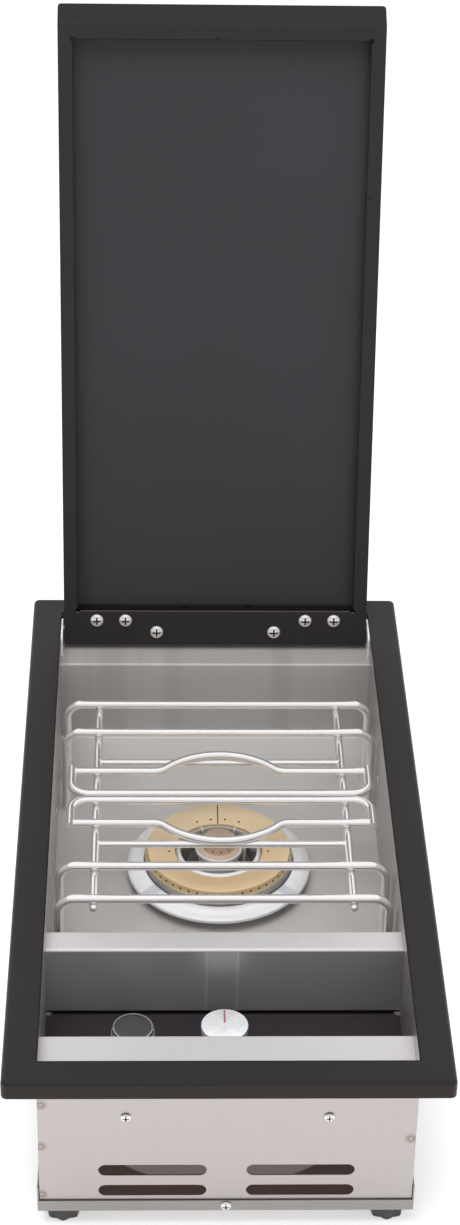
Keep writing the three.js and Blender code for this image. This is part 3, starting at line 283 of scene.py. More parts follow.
def soft_lamp(name, place, target, size, power):
    """A square area lamp that looks from one point at another."""
    lamp = bpy.data.objects.new(name, bpy.data.lights.new(name, "AREA"))
    scene.collection.objects.link(lamp)
    lamp.data.size = size
    lamp.data.energy = power
    lamp.visible_glossy = False
    lamp.location = place
    lamp.rotation_euler = (Vector(target) - Vector(place)).to_track_quat("-Z", "Y").to_euler()


scene.view_settings.view_transform = "Standard"
studio_world(strength=0.55, band=0.05, height=0.42, spread=0.16)
soft_lamp("lamp_above", place=(-0.3, -0.5, 2.6), target=(0, 0, 0.2), size=1.6, power=50)
soft_lamp("lamp_front", place=(0.7, -2.6, 1.1), target=(0, 0, 0.25), size=1.4, power=16)

# %% [markdown]
# ## Brushed stainless steel
#
# The box is folded from brushed sheet: fine scratches run one way and stretch each reflection across them.
# An image of scratches would do, but noise that is squeezed along one axis gives the same grain at any
# size. It varies the roughness most, the colour a little and the surface least, because real grain is very
# shallow.
#
# Each sheet then gets painted light and shade, and one real mark of the work. The rear wall is painted
# darker than the floor as painted shade, and it carries darker upright stripes. The divider is dark, with a
# painted highlight along its top, two painted reflection lines and a painted shadow line at its foot. The
# front panel's plug welds have burnt rings round them. The tray's floor shows through the vents and would
# be black in there, so it glows a little as painted light, as if lit through them. The named places are
# in metres.


# %% Mix the brushed steels
def brushed_steel(name, color, roughness, grain, metallic=1.0, **constants):
    """Brushed sheet; grain holds the noise scale along each axis."""
    steel = Finish(name, color, metallic, roughness, **constants)
    steel.fine = steel.noise(grain, detail=4)
    steel.cloud = steel.noise(9, detail=2)
    steel.drive("Roughness", steel.fine * 0.16 + steel.cloud * 0.08 + (roughness - 0.12))
    return two_tone(steel, 0.0, color, color).emboss(steel.fine, 0.00002, 0.5)


def two_tone(steel, factor, first, second):
    """Lets the colour go from one to another by a factor, with the grain in both."""
    grain = steel.fine * 0.6 + steel.cloud * 0.4
    tones = [steel.blend(grain, shade(color, 0.9), shade(color, 1.1)) for color in (first, second)]
    return steel.drive("Base Color", steel.blend(factor, *tones))


ACROSS_X, ACROSS_Z, EVERY_WAY = (900, 7, 7), (7, 7, 900), 300
REAR_WALL_FOOT, REAR_WALL_HEAD = 0.064, 0.148
DIVIDER_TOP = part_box("divider")[1][2]
DIVIDER_FOOT = 0.0848
REFLECTION_LINES = (-0.014, 0.0109)
FRONT_FACE = -0.343
WELDS = [
    (x, FRONT_FACE, z)
    for x, z in ((-0.1416, 0.1247), (-0.1425, 0.0822), (-0.1425, 0.032), (0.1405, 0.0894))
]
TRAY_MIDDLE, TRAY_ARC = (-0.0037, -0.1844, 0.0167), 0.1348

# The sheets are one brushed steel; their tones and shine are partly painted light, set to how each sheet
# looks in the studio.
wall_steel = brushed_steel("wall_steel", (0.56, 0.535, 0.52), 0.36, ACROSS_Z, 0.85)
shelf_steel = brushed_steel("shelf_steel", (0.65, 0.63, 0.63), 0.36, ACROSS_X, 0.5)
bright_steel = brushed_steel("bright_steel", (0.90, 0.89, 0.88), 0.26, EVERY_WAY, 0.3)
plain_steel = brushed_steel("plain_steel", (0.60, 0.59, 0.58), 0.26, EVERY_WAY)

liner_steel = brushed_steel("liner_steel", (0.60, 0.58, 0.565), 0.40, ACROSS_X, 0.25)
z = liner_steel.axes()[2]
upright = z.over(REAR_WALL_FOOT, 0.002) - z.over(REAR_WALL_HEAD, 0.001)
# Painted shade: the rear wall between REAR_WALL_FOOT and REAR_WALL_HEAD is darker than the floor.
two_tone(liner_steel, upright, liner_steel.color, (0.45, 0.425, 0.412))
# Darker upright stripes on the rear wall.
dark_stripes = liner_steel.noise((26, 1, 1), detail=2).over(0.56, 0.06)
liner_steel.tint(dark_stripes * upright * 0.3, (0.30, 0.275, 0.265))

divider_steel = brushed_steel("divider_steel", (0.62, 0.60, 0.59), 0.36, ACROSS_X, 0.5)
x, _, z = divider_steel.axes()
# Painted light: the front is dark, with a painted highlight along the top and two painted reflection lines.
reflection_lines = sum(1.0 - abs(x - place).over(0.0011, 0.0009) for place in REFLECTION_LINES)
lit = z.over(DIVIDER_TOP - 0.002, 0.0005).most(reflection_lines * 0.4)
two_tone(divider_steel, lit, (0.38, 0.365, 0.37), (0.655, 0.635, 0.63))
# Painted shadow: a dark line along the divider's foot.
divider_steel.tint(1.0 - z.over(DIVIDER_FOOT, 0.0006), (0.006, 0.004, 0.005))

front_steel = brushed_steel("front_steel", (0.445, 0.412, 0.402), 0.36, ACROSS_X)
scorched = front_steel.near(WELDS, 0.0035, 0.003) - front_steel.near(WELDS, 0.0012, 0.0006)
two_tone(front_steel, scorched * 0.8, front_steel.color, (0.20, 0.13, 0.10))

tray_steel = brushed_steel("tray_steel", (0.32, 0.30, 0.29), 0.36, ACROSS_X, Emission_Strength=1.0)
# Painted light: the tray's floor glows, brighter inside TRAY_ARC round its middle than beyond it.
on_floor = tray_steel.axes(TRAY_MIDDLE)[2].within(-0.0003, 0.0003)
beyond_arc = tray_steel.radius(TRAY_MIDDLE).over(TRAY_ARC, 0.001)
glow = tray_steel.blend(beyond_arc, (0.14, 0.12, 0.11), (0.048, 0.032, 0.028))
tray_steel.drive("Emission Color", tray_steel.blend(on_floor, (0, 0, 0), glow))
print("steels:", [m.name for m in bpy.data.materials if "steel" in m.name])

# %% [markdown]
# ## Black powder coat
#
# The frame and the lid are powder coated. Such paint is a dark plastic skin with a faint orange peel, a
# few tenths of a millimetre high and about a millimetre across. It reflects softly, so its edges look
# lighter. The panel inside the lid is painted a little lighter and bluer than its border, a painted
# reflection of the sky of the studio, which it faces instead of the steel.
#
# The paint also carries painted light and shade. The lid's panel is painted darker next to the border over
# the hinge, and the border darker still on its top slope. A painted shadow line runs inside the border, a
# painted highlight runs along its edge over the hinge, and a few real tack marks sit on it. The frame has a
# painted shadow line along its opening and an upright skirt painted browner. The glossy control panel has a
# painted shadow along its rear edge, and two light corners. These could be separate thin pieces, but as
# bands in the paint they follow each bend of the sheet.


# %% Mix the black paints
LID_OUT, LID_UP = Vector((0, -0.98511, 0.17193)), Vector((0, 0.17193, 0.98511))
BORDER_FACE, HIGHLIGHT_FACE = -0.2275, -0.2199
RECESS_FOOT, RECESS_HEAD, RECESS_SIDE = 0.2260, 0.7542, 0.1282
PANEL_FOOT = 0.2249
HIGHLIGHT_LOW, HIGHLIGHT_HIGH, HIGHLIGHT_END = 0.2244, 0.2256, 0.1245
SLOPE_FOOT, SLOPE_HEAD = 0.758, 0.767
LID_TACKS = [
    (-0.029, 0.2694, 0.178), (0.0307, 0.2697, 0.1798), (-0.0041, 0.345, 0.7061),
    (-0.1229, 0.3447, 0.7041), (-0.1283, 0.3235, 0.5827), (-0.1279, 0.2989, 0.4418),
    (0.1304, 0.3214, 0.5708),
]
OPENING_MIDDLE, OPENING_HALF_WIDTH, OPENING_HALF_DEPTH = (0, -0.033, 0), 0.1433, 0.3088
SKIRT_TOP = 0.1635
PANEL_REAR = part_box("control_panel")[1][1]
PANEL_CORNERS = [(x, PANEL_REAR - 0.001, 0.083) for x in (-0.1425, 0.1425)]


def powder_coat(name, color, roughness, gloss=0.22):
    """Black paint with orange peel and a slow change of tone."""
    paint = Finish(name, color, 0.0, roughness, Specular_IOR_Level=gloss)
    paint.cloud = paint.noise(6, detail=2)
    peel = paint.noise(700, detail=2)
    paint.drive("Base Color", paint.blend(paint.cloud, shade(color, 0.88), shade(color, 1.12)))
    paint.drive("Roughness", peel * 0.14 + (roughness - 0.07))
    return paint.emboss(peel, 0.00004, 0.35)


def shaded_lid_paint():
    """The lid's paint, with painted light: a lighter, bluer panel, painted shade, a highlight and a shadow
    line.
    """
    paint = powder_coat("lid_paint", (0.022, 0.0215, 0.0225), 0.45)
    x, y, z = paint.axes()
    out, up = y * LID_OUT.y + z * LID_OUT.z, y * LID_UP.y + z * LID_UP.z
    # Painted reflection: the deeper panel is lighter and bluer than the border.
    panel = paint.blend(paint.cloud, (0.029, 0.028, 0.0315), (0.036, 0.0345, 0.0395))
    # Painted shade: the panel is darker below PANEL_FOOT, next to the border over the hinge.
    panel = paint.blend(up.over(PANEL_FOOT, 0.0012), (0.016, 0.014, 0.015), panel)
    edge = paint.blend(paint.cloud, (0.016, 0.014, 0.0142), (0.021, 0.0185, 0.0188))
    # Painted shade: the border is darker still above SLOPE_HEAD, on the top slope.
    edge = paint.blend(up.over(SLOPE_HEAD, 0.001), edge, (0.0125, 0.012, 0.0122))
    rim = out.over(BORDER_FACE, 0.002).most(up.over(SLOPE_FOOT, 0.001))
    paint.drive("Base Color", paint.blend(rim, panel, edge))
    # Painted highlight: a light line along the border's edge over the hinge.
    hinge_highlight = up.over(HIGHLIGHT_LOW, 0.0002) - abs(x).over(HIGHLIGHT_END, 0.0005)
    hinge_highlight = hinge_highlight * (1.0 - up.over(HIGHLIGHT_HIGH, 0.0002)) * out.over(HIGHLIGHT_FACE, 0.0003)
    inside = (1.0 - abs(x).over(RECESS_SIDE, 0.0003)) * (1.0 - up.over(RECESS_HEAD, 0.0003))
    # Painted shadow: a dark line along the inside of the border; the tack marks are real.
    border_shadow = out.over(BORDER_FACE) * up.over(RECESS_FOOT) * inside
    marks = border_shadow.most(paint.near(LID_TACKS, 0.0016, 0.0006))
    return paint.tint(hinge_highlight, (0.07, 0.062, 0.06)).tint(marks, (0.004, 0.0035, 0.004))


def shaded_frame_paint():
    """The frame's paint, with a skirt painted browner and a painted shadow line along the opening."""
    paint = powder_coat("frame_paint", (0.0158, 0.0135, 0.0140), 0.42)
    x, y, z = paint.axes(OPENING_MIDDLE)
    from_edge = (abs(x) - OPENING_HALF_WIDTH).most(abs(y) - OPENING_HALF_DEPTH)
    # Painted light: the skirt below SKIRT_TOP is painted browner.
    paint.tint(1.0 - z.over(SKIRT_TOP, 0.001), (0.0185, 0.0120, 0.0100))
    # Painted shadow: a dark line along the edge of the opening.
    return paint.tint(1.0 - from_edge.over(0.0012, 0.0004), (0.003, 0.003, 0.003))


frame_paint = shaded_frame_paint()
lid_paint = shaded_lid_paint()
panel_enamel = powder_coat("panel_enamel", (0.026, 0.0205, 0.0245), 0.2, gloss=0.4)
# Painted shadow: a dark strip along the panel's rear edge.
shadowed = panel_enamel.axes()[1].over(PANEL_REAR - 0.0027, 0.0004)
panel_enamel.tint(shadowed, (0.004, 0.003, 0.0035))
panel_enamel.tint(panel_enamel.near(PANEL_CORNERS, 0.003, 0.002), (0.22, 0.20, 0.20))
print("paints:", [paint.material.name for paint in (frame_paint, lid_paint, panel_enamel)])

# %% [markdown]
# ## Polished wire, brass, copper and the small finishes
#
# The grates and the trim ring are polished, so they carry the brightest and the darkest reflections. The
# burner's brass is machined: turning leaves rings round its axis. The rings could be modelled, but they
# are far too fine, so a noise of the distance from the axis goes into the roughness and a very shallow
# relief.
#
# Such rings also spread a highlight into wedges. A soft studio alone draws them too faintly, so the knob's
# face gets painted reflection wedges from the angle round its axis, and the trim ring two painted darker
# strokes. The brass is painted lighter to the rear, the cone darker inside its rim, and the pedestal in the
# casting's bore, a light metal, lighter still and less metallic: painted light and shade in the burner.

# %% Mix the metals and the small finishes
BURNER_AXIS = (0, 0.0165, 0)
KNOB_AXIS = (0, -0.2344, 0)
GLINT_FROM, GLINT_TO = 0.86, 1.02
CONE_RIM, CASTING_BORE = 0.0328, 0.019


def turned_metal(name, color, roughness, axis, pitch, metallic=1.0, **constants):
    """A metal with turning marks round an upright axis; the pitch is in metres."""
    metal = Finish(name, color, metallic, roughness, **constants)
    along = metal.node("ShaderNodeCombineXYZ", {}, {"X": metal.radius(axis) * (1 / pitch)})
    rings = metal.noise(detail=2, where=along)
    cloud = metal.noise(40)
    metal.drive("Roughness", rings * 0.14 + cloud * 0.08 + (roughness - 0.11))
    tone = rings * 0.5 + cloud * 0.5
    metal.drive("Base Color", metal.blend(tone, shade(color, 0.88), shade(color, 1.1)))
    return metal.emboss(rings, 0.00002, 0.4)


def speckled(name, color, metallic, roughness, grain, spread):
    """A plain finish whose roughness spreads round a value; grain is the noise scale."""
    finish = Finish(name, color, metallic, roughness)
    return finish.drive("Roughness", finish.noise(grain) * spread + (roughness - spread / 2))


ring_polish = turned_metal(
    "ring_polish", (0.97, 0.98, 1.0), 0.24, BURNER_AXIS, 0.0012, 0.3, Anisotropic=0.6
)
x, y, _ = ring_polish.axes(BURNER_AXIS)
from_front = abs(ring_polish.maths("ARCTAN2", x, y * -1.0))
# Painted reflection: two darker blue-grey strokes, left and right of the front.
ring_polish.tint(from_front.within(GLINT_FROM, GLINT_TO, 0.03) * 0.75, (0.60, 0.63, 0.70))

ring_brass = turned_metal(
    "ring_brass", (0.93, 0.70, 0.42), 0.42, BURNER_AXIS, 0.0009, 0.5, Anisotropic=0.6
)
# Painted light: the rear half of the brass is painted lighter.
ring_brass.tint(ring_brass.axes(BURNER_AXIS)[1].over(0.0, 0.045) * 0.6, (1.0, 0.82, 0.56))

knob_face = turned_metal("knob_face", (0.96, 0.97, 1.0), 0.26, KNOB_AXIS, 0.0005, 0.5, Anisotropic=0.7)
# Painted reflection: wedges round the knob's axis, lighter and a little darker in turn.
x, y, _ = knob_face.axes(KNOB_AXIS)
four_waves = knob_face.maths("COSINE", knob_face.maths("ARCTAN2", y, x) * 4.0 - 2.6)
wedges = knob_face.blend((four_waves * 0.5 + 0.5) ** 3.0, (0.91, 0.925, 0.955), (1.0, 1.0, 1.0))
knob_face.drive("Base Color", wedges)

cone_steel = turned_metal("cone_steel", (0.84, 0.84, 0.86), 0.24, BURNER_AXIS, 0.0010, 0.95)
# Painted shade: the cone is darker inside its rim than on it.
on_rim = cone_steel.radius(BURNER_AXIS).over(CONE_RIM, 0.0003)
cone_steel.drive("Base Color", cone_steel.blend(on_rim, (0.44, 0.43, 0.42), cone_steel.color))
cap_copper = turned_metal("cap_copper", (0.70, 0.55, 0.43), 0.5, BURNER_AXIS, 0.0008, 0.5)
collar_steel = turned_metal("collar_steel", (0.80, 0.78, 0.78), 0.3, BURNER_AXIS, 0.0010, 0.5)

cast_aluminium = Finish("cast_aluminium", (0.42, 0.42, 0.42), 0.7, 0.6)
sand = cast_aluminium.noise(450, detail=4)
# The pedestal inside CASTING_BORE is a light metal, painted lighter still and less metallic: partly real,
# partly painted light.
outside = cast_aluminium.radius(BURNER_AXIS).over(CASTING_BORE, 0.001)
casting = cast_aluminium.blend(sand, (0.46, 0.425, 0.415), (0.68, 0.64, 0.63))
cast_aluminium.drive("Base Color", cast_aluminium.blend(outside, (0.86, 0.88, 0.90), casting))
cast_aluminium.drive("Metallic", outside * 0.5 + 0.2)
cast_aluminium.emboss(sand, 0.00025, 0.6)

wire_polish = speckled("wire_polish", (0.88, 0.86, 0.855), 0.75, 0.14, 60, 0.12)
chrome = speckled("chrome", (0.82, 0.82, 0.83), 1.0, 0.1, 90, 0.1)
part_brass = speckled("part_brass", (0.66, 0.50, 0.25), 1.0, 0.32, 150, 0.2)
screw_steel = speckled("screw_steel", (0.80, 0.79, 0.78), 0.8, 0.24, 400, 0.2)
red_line = speckled("red_line", (0.42, 0.10, 0.13), 0.0, 0.4, 800, 0.2)
glazed_ceramic = speckled("glazed_ceramic", (0.62, 0.55, 0.42), 0.0, 0.275, 300, 0.15)
# Painted shade: a dark lining for the cut faces of ports and screw recesses.
soot = Finish("soot", (0.022, 0.014, 0.01), 0.0, 0.8)
pit_shade_tone = soot.blend(soot.noise(500), (0.014, 0.009, 0.007), (0.035, 0.022, 0.015))
soot.drive("Base Color", pit_shade_tone)
dark_plastic = Finish("dark_plastic", (0.055, 0.054, 0.053), 0.0, 0.5)
dark_plastic.emboss(dark_plastic.noise(900), 0.00005, 0.5)
button_plastic = Finish("button_plastic", (0.045, 0.045, 0.045), 0.0, 0.45)
button_plastic.emboss(button_plastic.noise(1200), 0.00003, 0.4)
print("finishes:", len(bpy.data.materials))

# %% [markdown]
# ## Dress the sheet metal and the plain parts
#
# A CAD solid has edges of no width, and such an edge never catches light. Real sheet has a small round on
# each edge. The edges could be bevelled one by one, but a modifier that picks them by angle does it
# everywhere. The CAD mesh is loose triangles, so a copy is merged into flat faces first, and the copy
# stands for the node. The width of each rounded edge is in millimetres.


# %% Copy, merge and soften a node
EDGE_ANGLE, FLAT = math.radians(35), math.radians(1)
SAME_PLACE = 1e-6


def finished_mesh(shape, name, sharp=32):
    """Writes a bmesh as a mesh with smooth shading, kept sharp where faces meet at more than an angle."""
    bmesh.ops.recalc_face_normals(shape, faces=shape.faces)
    for face in shape.faces:
        face.smooth = True
    for edge in shape.edges:
        edge.smooth = len(edge.link_faces) == 2 and edge.calc_face_angle(0) < math.radians(sharp)
    mesh = bpy.data.meshes.new(name)
    shape.to_mesh(mesh)
    shape.free()
    return mesh


def add_piece(name, mesh, finish, *stands_for, body=None, lining=None):
    """Adds a piece that rides on its body and stands for CAD nodes; lining is for the cut faces."""
    piece = bpy.data.objects.new(name, mesh)
    scene.collection.objects.link(piece)
    mesh.materials.append(finish.material)
    if lining:
        mesh.materials.append(lining.material)
    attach(piece, body or body_of[stands_for[0]])
    if stands_for:
        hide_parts(*stands_for)
    return piece


def soften(piece, width):
    """Rounds the sharp edges of a piece and evens out its shading."""
    bevel = piece.modifiers.new("edges", "BEVEL")
    bevel.width = width
    bevel.segments = 2
    bevel.limit_method = "ANGLE"
    bevel.angle_limit = EDGE_ANGLE
    even = piece.modifiers.new("even", "WEIGHTED_NORMAL")
    even.keep_sharp = True


def dress(node, finish, width, swell=1.0):
    """Adds a merged copy of a CAD node; width is its edges' in mm, and swell makes it wider."""
    shape = bmesh.new()
    shape.from_mesh(nodes[node].data)
    bmesh.ops.transform(shape, matrix=nodes[node].matrix_world, verts=shape.verts)
    bmesh.ops.remove_doubles(shape, verts=shape.verts, dist=SAME_PLACE)
    bmesh.ops.dissolve_limit(shape, angle_limit=FLAT, verts=shape.verts, edges=shape.edges)
    low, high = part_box(node)
    space = Matrix.Translation(-(Vector(low) + Vector(high)) / 2)
    bmesh.ops.scale(shape, vec=(swell, swell, 1), space=space, verts=shape.verts)
    soften(add_piece(f"{node}_dressed", finished_mesh(shape, node), finish, node), width * MM)


EDGE_WIDTHS = {
    "trim_frame": (frame_paint, 0.3), "lid_shell": (lid_paint, 0.25),
    "side_panel_left": (wall_steel, 0.2), "side_panel_right": (wall_steel, 0.2),
    "front_panel": (front_steel, 0.25), "rear_panel": (front_steel, 0.25),
    "bottom_tray": (tray_steel, 0.25), "firebox_liner": (liner_steel, 0.15),
    "divider": (divider_steel, 0.15), "front_rail": (shelf_steel, 0.15),
    "control_panel": (panel_enamel, 0.2),
    "hinge_arm_left": (plain_steel, 0.3), "hinge_arm_right": (plain_steel, 0.3),
    "hinge_plate_left": (bright_steel, 0.3), "hinge_plate_right": (bright_steel, 0.3),
    "hinge_pin_left": (plain_steel, 0.3), "hinge_pin_right": (plain_steel, 0.3),
    "burner_base": (cast_aluminium, 0.6), "mixer_tube": (cast_aluminium, 0.4),
    "gas_valve": (part_brass, 0.4), "jet": (part_brass, 0.2), "inlet_fitting": (part_brass, 0.4),
    "gas_pipe": (plain_steel, 0.2), "igniter_housing": (dark_plastic, 0.5),
    "valve_stem": (plain_steel, 0.3), "valve_plunger": (part_brass, 0.3),
    "electrode_ceramic": (glazed_ceramic, 0.3),
}
for node, (finish, width) in EDGE_WIDTHS.items():
    dress(node, finish, width)
print("dressed nodes:", len(EDGE_WIDTHS))

# %% [markdown]
# ## Bend wire
#
# A grate is round wire that is run straight, bent over a former and welded. A curve with a round bevel
# would be quick, but its corners pinch. Here a circle is pushed along as the real wire is: a run extrudes
# it, a bend spins it round the former's axis, and the end is closed, flat or as a dome.


# %% Push a circle along runs and bends
class Wire:
    """A round section that is pushed through space."""

    def __init__(self, shape, start, heading, radius, sides=20):
        self.shape, self.radius = shape, radius
        self.place, self.heading = Vector(start), Vector(heading).normalized()
        turn = self.heading.to_track_quat("Z", "Y").to_matrix().to_4x4()
        matrix = Matrix.Translation(self.place) @ turn
        made = bmesh.ops.create_circle(shape, cap_ends=True, segments=sides, radius=radius, matrix=matrix)
        self.ring = list(dict.fromkeys(edge for vert in made["verts"] for edge in vert.link_edges))

    def run(self, length, scale=1.0):
        """Goes straight on, and can shrink the section on the way."""
        made = bmesh.ops.extrude_edge_only(self.shape, edges=self.ring)["geom"]
        verts = [item for item in made if isinstance(item, bmesh.types.BMVert)]
        edges = [item for item in made if isinstance(item, bmesh.types.BMEdge)]
        self.ring = [edge for edge in edges if all(vert in verts for vert in edge.verts)]
        bmesh.ops.translate(self.shape, verts=verts, vec=self.heading * length)
        self.place = self.place + self.heading * length
        if scale != 1.0:
            space = Matrix.Translation(-self.place)
            bmesh.ops.scale(self.shape, vec=(scale, scale, scale), space=space, verts=verts)
        return self

    def bend(self, axis, angle, former, steps=8):
        """Bends round an axis by an angle; former is the radius of the wire's middle line."""
        axis = Vector(axis)
        centre = self.place + axis.cross(self.heading) * former * (1 if angle > 0 else -1)
        made = bmesh.ops.spin(
            self.shape, geom=self.ring, cent=centre, axis=axis, dvec=(0, 0, 0), angle=angle, steps=steps,
            use_merge=False,
        )["geom_last"]
        self.ring = [item for item in made if isinstance(item, bmesh.types.BMEdge)]
        turn = Matrix.Rotation(angle, 4, axis)
        self.place = centre + turn @ (self.place - centre)
        self.heading = turn @ self.heading
        return self

    def close(self, dome=False):
        """Closes the end, flat or rounded over."""
        if dome:
            for rise, scale in ((0.35, 0.93), (0.3, 0.78), (0.2, 0.55)):
                self.run(self.radius * rise, scale)
        bmesh.ops.edgeloop_fill(self.shape, edges=self.ring)
        return self


trial = bmesh.new()
end = Wire(trial, (0, 0, 0), X, 0.003).run(0.02).bend(Z, TURN / 4, 0.01).close().place
print("a bent trial wire ends at", [round(v, 4) for v in end])
trial.free()

# %% [markdown]
# ## The two grates
#
# Each grate has two legged bars, a hoop towards the middle, a bar that swings out round the burner, two
# rails under them and a cross rod. Every crossing has a small weld bead. Two mirrored sets of curves would
# have to be kept alike, but the rear grate is the front one turned round, so one function makes both, and
# only the side changes. All sizes are in millimetres, and each offset is measured from the burner's axis.

# %% Build the grates
GRATE_TOP, FIREBOX_FLOOR = 146.5, 62.0
LEG, ARM, RAIL = 136.3, 128.8, 106.9
SHIFT = 1.0
FORMER = 14.0
BAR, UNDER, ROD = 3.75, 3.5, 3.1
RAIL_Z = GRATE_TOP - 6.1
LEGGED_AT = (96, 139.5)
HOOP_BAR_AT, SWING_AT, HOOP_END, ROD_AT = 4.7, 37, 41.5, 58.5
SWING_HALF, SWING_REACH = 58, 24.6
RAIL_RUN = 142.15
ROD_INSET = 2.4


def weld_bead(shape, place, size):
    """A squashed drop of weld metal; its half sizes are in mm."""
    matrix = Matrix.Translation(place) @ Matrix.Diagonal((*(Vector(size) * MM), 1))
    bmesh.ops.create_icosphere(shape, subdivisions=2, radius=1.0, matrix=matrix)


def grate(name, side):
    """One grate; side is 1 for the rear one and -1 for the front one."""
    shape = bmesh.new()
    quarter, former = TURN / 4, FORMER * MM

    def at(x, offset, z):
        return Vector((x + SHIFT, BURNER_AXIS[1] / MM + side * offset, z)) * MM

    def staple(start, heading, axis, turn, leg, half):
        """Two legs of equal length and a straight bar between them."""
        wire = Wire(shape, start, heading, BAR * MM).run((leg - FORMER) * MM).bend(axis, turn, former)
        wire.run(2 * (half - FORMER) * MM).bend(axis, turn, former).run((leg - FORMER) * MM).close()

    for offset in LEGGED_AT:
        staple(at(-LEG, offset, FIREBOX_FLOOR), Z, Y, quarter, GRATE_TOP - FIREBOX_FLOOR, LEG)
    staple(at(-ARM, HOOP_END, GRATE_TOP), -side * Y, Z, side * quarter, HOOP_END - HOOP_BAR_AT, ARM)

    slope = 2 * math.atan(SWING_REACH / SWING_HALF)
    crown = SWING_HALF / math.sin(slope) - FORMER
    end = ARM - BAR + 0.6
    swing = Wire(shape, at(-end, SWING_AT, GRATE_TOP), X, BAR * MM).run((end - SWING_HALF) * MM)
    swing.bend(Z, side * slope, former).bend(Z, -side * 2 * slope, crown * MM, steps=18)
    swing.bend(Z, side * slope, former).run((end - SWING_HALF) * MM).close()

    for hand in (-1, 1):
        x = hand * RAIL
        rail = Wire(shape, at(x, HOOP_BAR_AT - BAR + 0.8, RAIL_Z), side * Y, UNDER * MM)
        rail.run(RAIL_RUN * MM).close(dome=True)
        for offset in (HOOP_BAR_AT, SWING_AT, *LEGGED_AT):
            weld_bead(shape, at(x, offset, GRATE_TOP - 3.3), (4.3, 2.6, 1.7))
        weld_bead(shape, at(x - hand * 2.6, ROD_AT, RAIL_Z), (2.4, 3.9, 3.6))
        weld_bead(shape, at(hand * (ARM - 3), SWING_AT, GRATE_TOP), (1.8, 4.1, 3.9))
    rod = Wire(shape, at(ROD_INSET - RAIL, ROD_AT, RAIL_Z), X, ROD * MM)
    rod.run(2 * (RAIL - ROD_INSET) * MM).close()
    return add_piece(f"{name}_wires", finished_mesh(shape, name, 50), wire_polish, name)


rear_wires = grate("rear_grate", 1)
front_wires = grate("front_grate", -1)
print("faces in the grates:", len(rear_wires.data.polygons), len(front_wires.data.polygons))

# %% [markdown]
# ## Turn round parts on a lathe
#
# The burner, the ring round it, the knob and the button are turned or spun. Their half outline is a few
# points and arcs, and a full spin makes the body. A screw modifier would do the same, but the operator
# leaves real faces, and some of them are worked on afterwards.


# %% A lathe
def arc(radius, height, size, first, last, steps=4):
    """Points of a round stretch of an outline; the angles are in quarter turns."""
    points = []
    for i in range(steps + 1):
        angle = (first + (last - first) * i / steps) * TURN / 4
        points.append([radius + size * math.cos(angle), height + size * math.sin(angle)])
    return points


def turned(outline, axis, steps=96, closed=False, start=0.0):
    """Spins an outline of [radius, height] pairs in mm round a vertical axis."""
    shape = bmesh.new()
    aim = Vector((math.cos(start), math.sin(start), 0))
    verts = [shape.verts.new(Vector(axis) + (aim * radius + Z * height) * MM) for radius, height in outline]
    pairs = list(zip(verts, verts[1:] + verts[:1] if closed else verts[1:]))
    edges = [shape.edges.new(pair) for pair in pairs]
    bmesh.ops.spin(
        shape, geom=verts + edges, cent=axis, axis=Z, dvec=(0, 0, 0), angle=TURN, steps=steps,
        use_merge=True,
    )
    bmesh.ops.remove_doubles(shape, verts=shape.verts, dist=SAME_PLACE)
    bmesh.ops.recalc_face_normals(shape, faces=shape.faces)
    return shape


def turned_piece(node, finish, outline, axis, **options):
    """Adds a turned piece that stands for one node."""
    add_piece(f"{node}_turned", finished_mesh(turned(outline, axis, **options), node), finish, node)


trial = turned([[0, 0], [10, 0], [10, 5], [0, 5]], (0, 0, 0), steps=24)
print("a turned disc has", len(trial.faces), "faces")
trial.free()

# %% [markdown]
# ## Drill and cut
#
# The burner has rows of small ports, and it has holes, slots and screw recesses besides. All of them are
# real cuts: the tool's form is built as a closed shape, and a Boolean takes it away. Painted dots would be
# lighter work, but they stay flat from the side. Each port falls inside one flat face of the spun wall, so
# that the cut leaves the curve round it alone. The cut faces can get a second finish.


# %% Cut one shape out of another
def carved(shape, cutter, lined=False):
    """Cuts one closed shape out of another; lined gives the cut faces material index 1."""
    for face in cutter.faces:
        face.material_index = int(lined)
    pair = []
    for form in (shape, cutter):
        mesh = bpy.data.meshes.new("blank")
        form.to_mesh(mesh)
        form.free()
        for material in bpy.data.materials[:2]:
            mesh.materials.append(material)
        pair.append(bpy.data.objects.new("blank", mesh))
        scene.collection.objects.link(pair[-1])
    knife = pair[0].modifiers.new("knife", "BOOLEAN")
    knife.operation, knife.solver, knife.object = "DIFFERENCE", "EXACT", pair[1]
    knife.material_mode = "INDEX"
    result = bmesh.new()
    result.from_object(pair[0], bpy.context.evaluated_depsgraph_get())
    for blank in pair:
        mesh = blank.data
        bpy.data.objects.remove(blank)
        bpy.data.meshes.remove(mesh)
    return result


def peg(shape, place, heading, radius, length, sides=16):
    """Adds a round peg, centred on a place, along a heading; all in mm."""
    turn = Vector(heading).to_track_quat("Z", "Y").to_matrix().to_4x4()
    bmesh.ops.create_cone(
        shape, cap_ends=True, segments=sides, radius1=radius * MM, radius2=radius * MM, depth=length * MM,
        matrix=Matrix.Translation(Vector(place) * MM) @ turn,
    )


def port_pegs(shape, axis, start, count, circle, height, lean, radius):
    """Adds pegs for a ring of ports, at right angles to the wall that they go through."""
    for i in range(count):
        angle = start + TURN * i / count
        out = Vector((math.cos(angle), math.sin(angle), 0))
        peg(shape, axis + out * circle + Z * height, out + Z * lean, radius, 4, sides=12)


trial = bmesh.new()
bmesh.ops.create_cube(trial, size=0.01)
drill = bmesh.new()
peg(drill, (0, 0, 5), Z, 1, 4, sides=12)
trial = carved(trial, drill, lined=True)
lined_faces = sum(face.material_index for face in trial.faces)
print("a drilled cube has", len(trial.faces), "faces, lined:", lined_faces)
trial.free()

